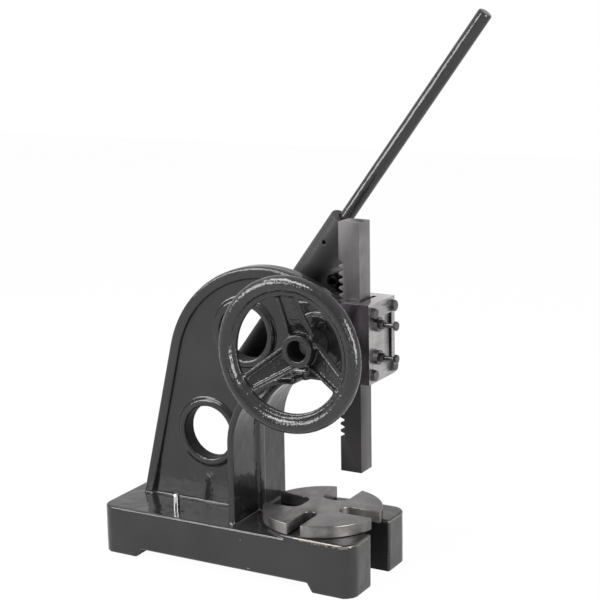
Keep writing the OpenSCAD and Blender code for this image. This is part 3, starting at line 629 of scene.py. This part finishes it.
def steel(name, dark, light, rough_low, rough_high, scale, stretch, depth, share=0.5):
    """Bare steel with tool marks that run along one direction, which take a share of its tones."""
    material, tree, shader, place = finish_tree(name)
    marks = grain(tree, place, scale, 4.0, stretch)
    cloud = grain(tree, place, 22.0, 4.0)
    mixed = tree.nodes.new("ShaderNodeMath")
    mixed.operation = "MULTIPLY_ADD"
    mixed.inputs[1].default_value = share
    link(tree, marks, mixed.inputs[0])
    rest = tree.nodes.new("ShaderNodeMath")
    rest.operation = "MULTIPLY"
    rest.inputs[1].default_value = 1 - share
    link(tree, cloud, rest.inputs[0])
    link(tree, rest.outputs[0], mixed.inputs[2])
    gloss = tones(tree, cloud, (0.3, grey(rough_low)), (0.7, grey(rough_high)))
    link(tree, tones(tree, mixed.outputs[0], (0.36, dark), (0.64, light)), shader.inputs["Base Color"])
    link(tree, gloss, shader.inputs["Roughness"])
    shader.inputs["Metallic"].default_value = 1.0
    relief(tree, shader, (marks, depth))
    return material


bright_steel = steel("bright_steel", (0.55, 0.55, 0.54), (0.80, 0.80, 0.78), 0.16, 0.3,
                     900.0, (0.1, 0.1, 1.0), 0.00003)
peg_low, peg_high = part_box("base_peg")
peg_radius = (peg_high.x - peg_low.x) / 2
peg_length = peg_high.z - peg_low.z
peg_chamfer = 0.0018
peg = turned(
    "bright_peg",
    [(0, 0), (0, peg_radius), (peg_length - peg_chamfer, peg_radius), (peg_length, peg_radius - peg_chamfer),
     (peg_length, 0)],
    ((peg_low.x + peg_high.x) / 2, (peg_low.y + peg_high.y) / 2, peg_low.z), (0, 0, 1), bright_steel,
)
stands_for(peg, "frame", "bright_steel", "base_peg")

# Table pivot pin and table plate: a cast-iron disc faced on a lathe, with four open slots of different width.
# It turns on the pin and is bare metal, with turning rings on top and a brownish film of oil.
table_edge = 0.0016
table_steel = steel("faced_table", (0.10, 0.094, 0.093), (0.23, 0.218, 0.216), 0.28, 0.44,
                    300.0, (1.0, 1.0, 1.0), 0.00005, 0.15)
tree = table_steel.node_tree
shader = tree.nodes["Principled BSDF"]
shader.inputs["Metallic"].default_value = 0.85
rings = tree.nodes.new("ShaderNodeTexWave")
rings.wave_type = "RINGS"
rings.rings_direction = "Z"
rings.inputs["Scale"].default_value = 190.0
rings.inputs["Distortion"].default_value = 1.2
rings.inputs["Detail"].default_value = 2.0
centre = tree.nodes.new("ShaderNodeMapping")
centre.inputs["Location"].default_value = (-table_place[0], 0.0, 0.0)
place = tree.nodes.new("ShaderNodeTexCoord")
link(tree, place.outputs["Object"], centre.inputs["Vector"])
link(tree, centre.outputs["Vector"], rings.inputs["Vector"])
# Turning rings take the place of the straight tool marks
relief(tree, shader, (rings.outputs["Fac"], 0.00004), (grain(tree, place.outputs["Object"], 500.0), 0.00005))
table = machined("slotted_table", "table_plate", table_edge, table_steel)
stands_for(table, "table", "machined_steel", "table_plate")
ground_steel = steel("ground_steel", (0.22, 0.215, 0.21), (0.34, 0.33, 0.325), 0.26, 0.42,
                     420.0, (1.0, 1.0, 0.06), 0.00004)


def finished(finish, *nodes):
    """Gives a finish to solids that show as they are."""
    for node in nodes:
        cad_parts[node].data.materials.clear()
        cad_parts[node].data.materials.append(finish)


finished(ground_steel, "table_pivot_pin")

# Ram: a square bar of steel, ground on its sides, with rack teeth milled across its rear face.
# Long use has left cloudy stains on it; it darkens towards the bottom, and its near side is darker as painted
# shade.


def darkened(tree, *levels):
    """Multiplies a finish's colour by levels that follow the height above the bench."""
    shader = tree.nodes["Principled BSDF"]
    place = tree.nodes.new("ShaderNodeTexCoord")
    heights = tree.nodes.new("ShaderNodeSeparateXYZ")
    link(tree, place.outputs["Object"], heights.inputs[0])
    film = tree.nodes.new("ShaderNodeMixRGB")
    film.blend_type = "MULTIPLY"
    film.inputs["Fac"].default_value = 1.0
    link(tree, shader.inputs["Base Color"].links[0].from_socket, film.inputs["Color1"])
    link(tree, tones(tree, heights.outputs["Z"], *levels), film.inputs["Color2"])
    link(tree, film.outputs["Color"], shader.inputs["Base Color"])


def darker_below_steel(name, dark, light, rough_low, rough_high, low_level):
    """Ground steel of the ram that darkens to a level towards its lower half."""
    material = steel(name, dark, light, rough_low, rough_high, 500.0, (1.0, 1.0, 0.05), 0.00003, 0.2)
    darkened(material.node_tree, (0.36, grey(low_level)), (0.52, grey(0.85)), (0.58, grey(1.0)))
    return material


ram_front = darker_below_steel("ram_front", (0.175, 0.167, 0.167), (0.255, 0.243, 0.243), 0.28, 0.44, 0.42)
# The near side is a darker copy of the ram's steel: painted shade.
ram_shaded_side = darker_below_steel("ram_shaded_side", (0.094, 0.089, 0.092), (0.115, 0.109, 0.112), 0.48, 0.6, 0.34)
ram_edge = 0.0007
ram_piece = machined("rack_ram", "ram", ram_edge, ram_front, ram_shaded_side)
for face in ram_piece.data.polygons:
    face.material_index = 1 if face.normal.y < -0.5 else 0
stands_for(ram_piece, "ram", "machined_steel", "ram")

# Ram cap and gib: the milled block that closes the guide, and the steel strip that takes up its play.
# The cap's sides are dark, partly oily from the mill and partly painted shade; its front is paler, and its
# ground top is lighter still as a painted highlight.
# The dark side steel is partly an oily finish and partly painted shade; the gib strip shares it.
cap_side_oil_and_shade = steel("cap_side_oil_and_shade", (0.036, 0.031, 0.035), (0.06, 0.053, 0.058), 0.28, 0.42,
                 350.0, (1.0, 1.0, 0.08), 0.00004)
cap_front = steel("cap_front", (0.30, 0.29, 0.29), (0.46, 0.45, 0.445), 0.3, 0.44,
                  350.0, (1.0, 0.08, 1.0), 0.00005)
# The lighter top is a painted highlight on ground steel.
cap_top_painted_highlight = steel("cap_top_painted_highlight", (0.46, 0.445, 0.45), (0.56, 0.545, 0.55), 0.1, 0.16,
                350.0, (1.0, 0.08, 1.0), 0.00001)
cap_edge = 0.002
cap = machined("milled_cap", "ram_cap", cap_edge, cap_side_oil_and_shade, cap_front, cap_top_painted_highlight)
# Faces take a finish by the way they face: the sides carry painted shade and the top a painted highlight.
for face in cap.data.polygons:
    face.material_index = 1 if face.normal.x > 0.5 else 2 if face.normal.z > 0.5 else 0
stands_for(cap, "frame", "dark_steel", "ram_cap")
finished(cap_side_oil_and_shade, "gib_strip")

# Hex fasteners: cap bolts and near bush bolts, the long gib screws, their lock nuts and the washers.
# All are stock steel parts with a blackened finish; the washers are plain punched rings.
black_oxide = steel("black_oxide", (0.06, 0.058, 0.062), (0.125, 0.121, 0.127), 0.22, 0.36,
                    250.0, None, 0.00003)
washer_steel = steel("washer_steel", (0.08, 0.077, 0.080), (0.20, 0.195, 0.198), 0.25, 0.4,
                     300.0, None, 0.00003)


def sized_tree(name, *sizes):
    """New node tree that takes points and the named sizes, and gives a mesh."""
    tree = bpy.data.node_groups.new(name, "GeometryNodeTree")
    tree.interface.new_socket("Geometry", in_out="INPUT", socket_type="NodeSocketGeometry")
    for size in sizes:
        tree.interface.new_socket(size, in_out="INPUT", socket_type="NodeSocketFloat")
    tree.interface.new_socket("Turn", in_out="INPUT", socket_type="NodeSocketRotation")
    tree.interface.new_socket("Finish", in_out="INPUT", socket_type="NodeSocketMaterial")
    tree.interface.new_socket("Geometry", in_out="OUTPUT", socket_type="NodeSocketGeometry")
    return tree, tree.nodes.new("NodeGroupInput").outputs


def shifted(tree, geometry, height):
    """Geometry lifted by a height."""
    move = tree.nodes.new("GeometryNodeTransform")
    offset = tree.nodes.new("ShaderNodeCombineXYZ")
    link(tree, height, offset.inputs["Z"])
    link(tree, geometry, move.inputs["Geometry"])
    link(tree, offset.outputs[0], move.inputs["Translation"])
    return move.outputs["Geometry"]


def times(tree, value, factor):
    """A size multiplied by a number."""
    node = tree.nodes.new("ShaderNodeMath")
    node.operation = "MULTIPLY"
    node.inputs[1].default_value = factor
    link(tree, value, node.inputs[0])
    return node.outputs[0]


def bar(tree, radius, depth, sides):
    """Upright bar that stands on the ground plane, round or with flat sides."""
    node = tree.nodes.new("GeometryNodeMeshCylinder")
    node.inputs["Vertices"].default_value = sides
    link(tree, radius, node.inputs["Radius"])
    link(tree, depth, node.inputs["Depth"])
    return shifted(tree, node.outputs["Mesh"], times(tree, depth, 0.5))


def boolean(tree, operation, first, second):
    """Two meshes cut or crossed with each other."""
    node = tree.nodes.new("GeometryNodeMeshBoolean")
    node.operation = operation
    node.solver = "EXACT"
    if operation == "DIFFERENCE":
        link(tree, first, node.inputs["Mesh 1"])
    else:
        link(tree, first, node.inputs["Mesh 2"])
    link(tree, second, node.inputs["Mesh 2"])
    return node.outputs["Mesh"]


def hex_head(tree, flats, height):
    """Six-sided head whose corners are turned off by a cone at the top."""
    top_share = 0.475
    spread_share = 1.2
    depth_share = 0.72
    prism = bar(tree, times(tree, flats, 1 / math.sqrt(3)), height, 6)
    cone = tree.nodes.new("GeometryNodeMeshCone")
    cone.inputs["Vertices"].default_value = 48
    link(tree, times(tree, flats, top_share), cone.inputs["Radius Top"])
    link(tree, times(tree, flats, top_share + spread_share), cone.inputs["Radius Bottom"])
    link(tree, times(tree, flats, depth_share), cone.inputs["Depth"])
    drop = tree.nodes.new("ShaderNodeMath")
    drop.operation = "MULTIPLY_ADD"
    drop.inputs[1].default_value = -depth_share
    link(tree, flats, drop.inputs[0])
    link(tree, height, drop.inputs[2])
    return boolean(tree, "INTERSECT", prism, shifted(tree, cone.outputs["Mesh"], drop.outputs[0]))


def joined(tree, *geometries):
    """Several geometries as one."""
    node = tree.nodes.new("GeometryNodeJoinGeometry")
    for geometry in geometries:
        link(tree, geometry, node.inputs["Geometry"])
    return node.outputs["Geometry"]


def set_at_points(tree, sizes, shape):
    """Puts the shape at every point, turned, as real mesh in its finish."""
    onto = tree.nodes.new("GeometryNodeInstanceOnPoints")
    link(tree, sizes["Geometry"], onto.inputs["Points"])
    link(tree, shape, onto.inputs["Instance"])
    link(tree, sizes["Turn"], onto.inputs["Rotation"])
    real = tree.nodes.new("GeometryNodeRealizeInstances")
    link(tree, onto.outputs["Instances"], real.inputs["Geometry"])
    painted = tree.nodes.new("GeometryNodeSetMaterial")
    link(tree, real.outputs["Geometry"], painted.inputs["Geometry"])
    link(tree, sizes["Finish"], painted.inputs["Material"])
    out = tree.nodes.new("NodeGroupOutput")
    link(tree, painted.outputs["Geometry"], out.inputs["Geometry"])


shank_share_below = 0.98
bolt_tree, sizes = sized_tree("hex_bolts", "Flats", "Head", "Shank radius", "Shank length")
shank = bar(bolt_tree, sizes["Shank radius"], sizes["Shank length"], 32)
shank = shifted(bolt_tree, shank, times(bolt_tree, sizes["Shank length"], -shank_share_below))
set_at_points(bolt_tree, sizes, joined(bolt_tree, hex_head(bolt_tree, sizes["Flats"], sizes["Head"]), shank))

nut_tree, sizes = sized_tree("hex_nuts", "Flats", "Height", "Bore radius")
bore = bar(nut_tree, sizes["Bore radius"], times(nut_tree, sizes["Height"], 2.0), 32)
bore = shifted(nut_tree, bore, times(nut_tree, sizes["Height"], -0.5))
nut = boolean(nut_tree, "DIFFERENCE", hex_head(nut_tree, sizes["Flats"], sizes["Height"]), bore)
set_at_points(nut_tree, sizes, nut)

washer_tree, sizes = sized_tree("washers", "Radius", "Thickness", "Bore radius")
bore = bar(washer_tree, sizes["Bore radius"], times(washer_tree, sizes["Thickness"], 2.0), 32)
bore = shifted(washer_tree, bore, times(washer_tree, sizes["Thickness"], -0.5))
ring = boolean(washer_tree, "DIFFERENCE", bar(washer_tree, sizes["Radius"], sizes["Thickness"], 48), bore)
set_at_points(washer_tree, sizes, ring)

to_front = (0.0, math.pi / 2, 0.0)
to_near = (math.pi / 2, 0.0, 0.0)


def fasteners(name, tree, places, turn, finish, slot, node, **sizes):
    """Like fasteners of one node, made by a tree at the given places."""
    mesh = bpy.data.meshes.new(name)
    mesh.from_pydata(places, [], [])
    thing = piece(name, mesh)
    modifier = thing.modifiers.new("set", "NODES")
    modifier.node_group = tree
    named = {item.name: item.identifier for item in tree.interface.items_tree if item.in_out == "INPUT"}
    modifier[named["Turn"]] = turn
    modifier[named["Finish"]] = finish
    for word, size in sizes.items():
        modifier[named[word.replace("_", " ")]] = size
    settle(thing)
    for face in thing.data.polygons:
        face.use_smooth = True
    thing.data.set_sharp_from_angle(angle=math.radians(26))
    stands_for(thing, "frame", slot, node)


washer_low, washer_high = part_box("cap_washers")
bolt_low, bolt_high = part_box("cap_bolts")
cap_flats = 0.017
cap_shank = 0.005
cap_washer_bore = 0.0053
washer_overhang = 1.03
washer_radius = washer_overhang * cap_flats / math.sqrt(3)
cap_bolt_places = [
    (y, z) for y in (washer_low.y + washer_radius, washer_high.y - washer_radius)
    for z in (washer_low.z + washer_radius, washer_high.z - washer_radius)
]
fasteners("cap_bolt_set", bolt_tree, [(washer_high.x, y, z) for y, z in cap_bolt_places], to_front,
          black_oxide, "black_steel", "cap_bolts", Flats=cap_flats, Head=bolt_high.x - washer_high.x,
          Shank_radius=cap_shank, Shank_length=washer_high.x - bolt_low.x)
fasteners("cap_washer_set", washer_tree, [(washer_low.x, y, z) for y, z in cap_bolt_places], to_front,
          washer_steel, "machined_steel", "cap_washers", Radius=washer_radius,
          Thickness=washer_high.x - washer_low.x, Bore_radius=cap_washer_bore)
gib_low, gib_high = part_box("gib_washers")
nut_low, nut_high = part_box("gib_lock_nuts")
screw_low, screw_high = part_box("gib_screws")
gib_washer_radius = (gib_high.y - gib_low.y) / 2
gib_places = [
    ((gib_low.y + gib_high.y) / 2, z) for z in (gib_low.z + gib_washer_radius, gib_high.z - gib_washer_radius)
]
gib_flats = 0.014
gib_head = 0.0055
gib_shank = 0.004
gib_nut_bore = 0.00402
gib_washer_bore = 0.0043
fasteners("gib_screw_set", bolt_tree, [(screw_high.x - gib_head, y, z) for y, z in gib_places], to_front,
          black_oxide, "black_steel", "gib_screws", Flats=gib_flats, Head=gib_head, Shank_radius=gib_shank,
          Shank_length=screw_high.x - gib_head - screw_low.x)
fasteners("gib_nut_set", nut_tree, [(nut_low.x, y, z) for y, z in gib_places], to_front, black_oxide,
          "black_steel", "gib_lock_nuts", Flats=gib_flats, Height=nut_high.x - nut_low.x,
          Bore_radius=gib_nut_bore)
fasteners("gib_washer_set", washer_tree, [(gib_low.x, y, z) for y, z in gib_places], to_front, washer_steel,
          "dark_steel", "gib_washers", Radius=gib_washer_radius, Thickness=gib_high.x - gib_low.x,
          Bore_radius=gib_washer_bore)
bush_bolt_low, bush_bolt_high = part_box("near_bush_bolts")
bush_bolt_circle = 0.0375
bush_bolt_head = 0.0055
bush_bolt_flats = 0.013
bush_bolt_shank = 0.004
first_bush_bolt = 62
bush_bolt_places = [
    (pinion_place[0] + bush_bolt_circle * math.cos(a), bush_bolt_low.y + bush_bolt_head,
     pinion_place[1] + bush_bolt_circle * math.sin(a))
    for a in (math.radians(first_bush_bolt + 120 * n) for n in range(3))
]
fasteners("bush_bolt_set", bolt_tree, bush_bolt_places, to_near, black_oxide, "black_steel",
          "near_bush_bolts", Flats=bush_bolt_flats, Head=bush_bolt_head, Shank_radius=bush_bolt_shank,
          Shank_length=bush_bolt_high.y - bush_bolt_low.y - bush_bolt_head)

# Shaft parts: the pinion shaft with its keys, end washer and end bolt, and the lever's bronze bush.
# The set screws and the pawl pin's ring are blackened stock parts. Most of these lie hidden in the others.
# This steel is lighter than the other ground steel, as painted light on the shaft's end deep in the bore.
shaft_steel_painted_light = steel("shaft_steel_painted_light", (0.45, 0.44, 0.44), (0.60, 0.59, 0.59), 0.45, 0.6,
                    420.0, (1.0, 0.1, 1.0), 0.00003)
finished(shaft_steel_painted_light, "pinion_shaft", "shaft_end_washer")
key_steel = steel("key_steel", (0.10, 0.098, 0.10), (0.17, 0.165, 0.165), 0.3, 0.45,
                  350.0, (1.0, 0.1, 1.0), 0.00003)
finished(key_steel, "handwheel_key", "ratchet_key")
finished(black_oxide, "handwheel_set_screw", "shaft_end_bolt", "handle_set_screw", "pawl_pin_ring")
bronze = steel("bearing_bronze", (0.42, 0.27, 0.12), (0.60, 0.42, 0.20), 0.25, 0.4,
               300.0, (1.0, 1.0, 0.1), 0.00004)
finished(bronze, "lever_bush")

# Handwheel: an iron casting with a round lipped rim, a long hub and three sloping spokes with ribbed edges.
# It is keyed to the pinion shaft, whose end stays deep inside the bored hub, and is enamelled like the frame.
wheel_enamel = brushed_on("wheel_enamel", enamel_dark, enamel_light, 0.10, 0.18, 0.5,
                          (60.0, 2.0, 0.0012), (180.0, 2.0, 0.0008))
wheel_low, wheel_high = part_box("handwheel")
rim_tube = 0.0135
rim_lip = 0.0065
lip_front = -0.0035
lip_back = 0.0055
lip_edge = 0.002
lip_fillet = 0.003
rim_radius = (wheel_high.x - wheel_low.x) / 2 - rim_tube
rim_plane = wheel_low.y + rim_tube
hub_radius = 0.028
hub_face = rim_plane + 0.025
hub_back = wheel_high.y
hub_edge = 0.002
hub_fillet = 0.004
bore_radius = 0.01752
bore_chamfer = 0.0015
bore_reach = 0.001
key_half = 0.005
key_top = 0.0215
key_angle = math.radians(50)
first_spoke = 95
spoke_angles = [math.radians(first_spoke + 120 * n) for n in range(3)]
spoke_inner = hub_radius - 0.004
spoke_outer = rim_radius - 0.002
spoke_start = hub_face + 0.028
spoke_end = rim_plane + 0.004
spoke_slope = math.atan2(spoke_start - spoke_end, spoke_outer - spoke_inner)
spoke_run = (spoke_outer - spoke_inner) / math.cos(spoke_slope)
spoke_half_hub = 0.022
spoke_half_rim = 0.014
spoke_floor = 0.006
spoke_rib = 0.012
rib_width = 0.0055
spoke_edge = 0.002
rib_fillet = 0.004
spoke_fillet = 0.006
wheel_triangles = 190000
wheel_pitch = 0.00125
x, y, z = grid(wheel_low, wheel_high, wheel_pitch)
across = x - pinion_place[0]
upward = z - pinion_place[1]
from_axis = np.hypot(across, upward)
wheel = np.hypot(from_axis - rim_radius, y - rim_plane) - rim_tube
lip = every(rim_radius - rim_tube - rim_lip - from_axis, from_axis - rim_radius)
lip = rounded(lip, between(y - rim_plane, lip_front, lip_back), lip_edge)
wheel = melt(wheel, lip, lip_fillet)
wheel = melt(wheel, rounded(from_axis - hub_radius, between(y, hub_face, hub_back), hub_edge), hub_fillet)
for angle in spoke_angles:
    outward = across * math.cos(angle) + upward * math.sin(angle) - spoke_inner
    sideways = abs(upward * math.cos(angle) - across * math.sin(angle))
    along = outward * math.cos(spoke_slope) + (spoke_start - y) * math.sin(spoke_slope)
    above = (spoke_start - y) * math.cos(spoke_slope) - outward * math.sin(spoke_slope)
    half = spoke_half_hub + (spoke_half_rim - spoke_half_hub) * np.clip(along / spoke_run, 0, 1)
    length = between(along, 0, spoke_run)
    bed = rounded(every(sideways - half, length), between(above, 0, spoke_floor), spoke_edge)
    edges = every(sideways - half, half - rib_width - sideways, length)
    rib = rounded(edges, between(above, 0, spoke_rib), spoke_edge)
    wheel = melt(wheel, melt(bed, rib, rib_fillet), spoke_fillet)
mouth = (from_axis + y - hub_face - bore_radius - bore_chamfer) * math.sqrt(0.5)
bore = any_of(from_axis - bore_radius, mouth)
key_out = across * math.sin(key_angle) + upward * math.cos(key_angle)
key_side = across * math.cos(key_angle) - upward * math.sin(key_angle)
wheel = every(wheel, -bore, -every(abs(key_side) - key_half, -key_out, key_out - key_top))
handwheel = piece("cast_handwheel", skin("cast_handwheel", wheel, (x, y, z)), wheel_enamel, painted_shade_iron)
thin_out(handwheel, wheel_triangles)
spots = middles(handwheel)
# The bore's walls take the near-black painted shade.
shaded_bore_faces = disc(spots[:, 0], spots[:, 2], pinion_place, bore_radius) < bore_reach
handwheel.data.polygons.foreach_set("material_index", shaded_bore_faces.astype(np.int32))
stands_for(handwheel, "pinion", "paint", "handwheel")

# Ratchet wheel and pawl: cut from steel plate, the teeth filed sharp on one side; hardened and oiled dark.
# The pawl hangs on a pin in the lever and is parked clear of the teeth by its ball knob.
tooth_edge = 0.0006
hard_steel = steel("hard_steel", (0.10, 0.095, 0.095), (0.18, 0.17, 0.168), 0.3, 0.45,
                   300.0, (0.2, 1.0, 1.0), 0.00004)
ratchet = machined("toothed_ratchet", "ratchet_wheel", tooth_edge, hard_steel)
stands_for(ratchet, "pinion", "dark_steel", "ratchet_wheel")
blued_steel = steel("blued_steel", (0.010, 0.010, 0.012), (0.020, 0.020, 0.023), 0.12, 0.2,
                    250.0, None, 0.00002)
stands_for(machined("ratchet_pawl", "pawl", tooth_edge, blued_steel), "pawl", "black_steel", "pawl")
finished(blued_steel, "pawl_pin", "pawl_lift_knob")

# Lever casting: a hub that turns on the shaft, a flat arm, and a long round socket that slants across it.
# It is enamelled, and its lower end is darkened as painted shade; the handle is clamped in the socket by a
# small set screw.
lever_enamel = brushed_on("lever_enamel", grey(0.022), grey(0.03), 0.42, 0.55, 0.2, (90.0, 2.0, 0.0003))
# Below a height the lever's colour darkens: painted shade on its tail behind the column.
darkened(lever_enamel.node_tree, (0.47, grey(0.25)), (0.54, grey(1.0)))
lever_angle = math.radians(53.6)
lever_hub_radius = 0.036
lever_bush_radius = 0.022
lever_bush_low, lever_bush_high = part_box("lever_bush")
lever_hub_start = lever_bush_low.y
lever_hub_end = lever_bush_high.y
lever_hub_edge = 0.002
arm_start = lever_hub_start + 0.003
arm_end = arm_start + 0.016
arm_edge = 0.003
lever_fillet = 0.008
socket_middle = (arm_start + arm_end) / 2
socket_offset = 0.1315
socket_radius = 0.0265
socket_top = 0.136
socket_tail = -0.230
socket_edge = 0.005
arm_front_top = socket_top - 0.028
arm_rear_top = -0.060
handle_radius = 0.0125
handle_depth = 0.104
screw_along = 0.085
screw_radius = 0.00375
pawl_along = 0.0435
pawl_across = 0.076
pawl_boss_radius = 0.015
pawl_boss_start = arm_start - 0.002
pawl_boss_end = arm_end + 0.004
pawl_boss_edge = 0.0015
pawl_boss_fillet = 0.006
pawl_pin_radius = 0.006
lever_triangles = 150000
lever_turn = Matrix.Translation((pinion_place[0], 0, pinion_place[1])) @ Matrix.Rotation(-lever_angle, 4, "Y")
lever_pitch = 0.00125
x, y, z = grid((socket_tail, socket_middle - socket_radius, -lever_hub_radius),
               (socket_top, socket_middle + socket_radius, socket_offset + socket_radius), lever_pitch)
hub = disc(x, z, (0, 0), lever_hub_radius)
hub = rounded(hub, between(y, lever_hub_start, lever_hub_end), lever_hub_edge)


def beside_line(a, b, start, end):
    """Signed distance to the right of a straight line from start to end."""
    run = (end[0] - start[0], end[1] - start[1])
    return ((a - start[0]) * run[1] - (b - start[1]) * run[0]) / math.hypot(*run)


arm_front = beside_line(x, z, (lever_hub_radius, 0), (arm_front_top, socket_offset))
arm_rear = -beside_line(x, z, (-lever_hub_radius, 0), (arm_rear_top, socket_offset))
arm_sides = every(arm_front, arm_rear, -z, z - socket_offset)
arm = rounded(arm_sides, between(y, arm_start, arm_end), arm_edge)
pawl_boss = disc(x, z, (pawl_along, pawl_across), pawl_boss_radius)
pawl_boss = rounded(pawl_boss, between(y, pawl_boss_start, pawl_boss_end), pawl_boss_edge)
socket = disc(y, z, (socket_middle, socket_offset), socket_radius)
socket = rounded(socket, between(x, socket_tail, socket_top), socket_edge)
lever = melt(melt(hub, arm, lever_fillet), melt(socket, pawl_boss, pawl_boss_fillet), lever_fillet)
bush_hole = disc(x, z, (0, 0), lever_bush_radius)
pin_hole = disc(x, z, (pawl_along, pawl_across), pawl_pin_radius)
handle_hole = every(disc(y, z, (socket_middle, socket_offset), handle_radius), socket_top - handle_depth - x)
screw_hole = every(disc(x, z, (screw_along, socket_offset), screw_radius), y - socket_middle)
lever = every(lever, -bush_hole, -pin_hole, -handle_hole, -screw_hole)
lever_piece = piece("cast_lever", skin("cast_lever", lever, (x, y, z), lever_turn), lever_enamel)
thin_out(lever_piece, lever_triangles)
stands_for(lever_piece, "lever", "paint", "lever_casting")

# Handle bar: a round steel bar with a chamfered tip, clamped in the lever's socket.
# It is enamelled in the frame's dark grey and has no grip or ball.
handle_tip = 0.580
handle_chamfer = 0.003
tip_bevel = 0.35 * handle_chamfer
handle_start = lever_turn @ Vector((socket_top - handle_depth, socket_middle, socket_offset))
handle_length = handle_tip - socket_top + handle_depth
handle = turned(
    "enamelled_handle",
    [(0, 0), (0, handle_radius), (handle_length - handle_chamfer, handle_radius),
     (handle_length - tip_bevel, handle_radius - tip_bevel),
     (handle_length, handle_radius - handle_chamfer), (handle_length, 0)],
    handle_start, lever_turn.to_3x3() @ Vector((1, 0, 0)), enamel,
)
stands_for(handle, "lever", "paint", "handle_bar")
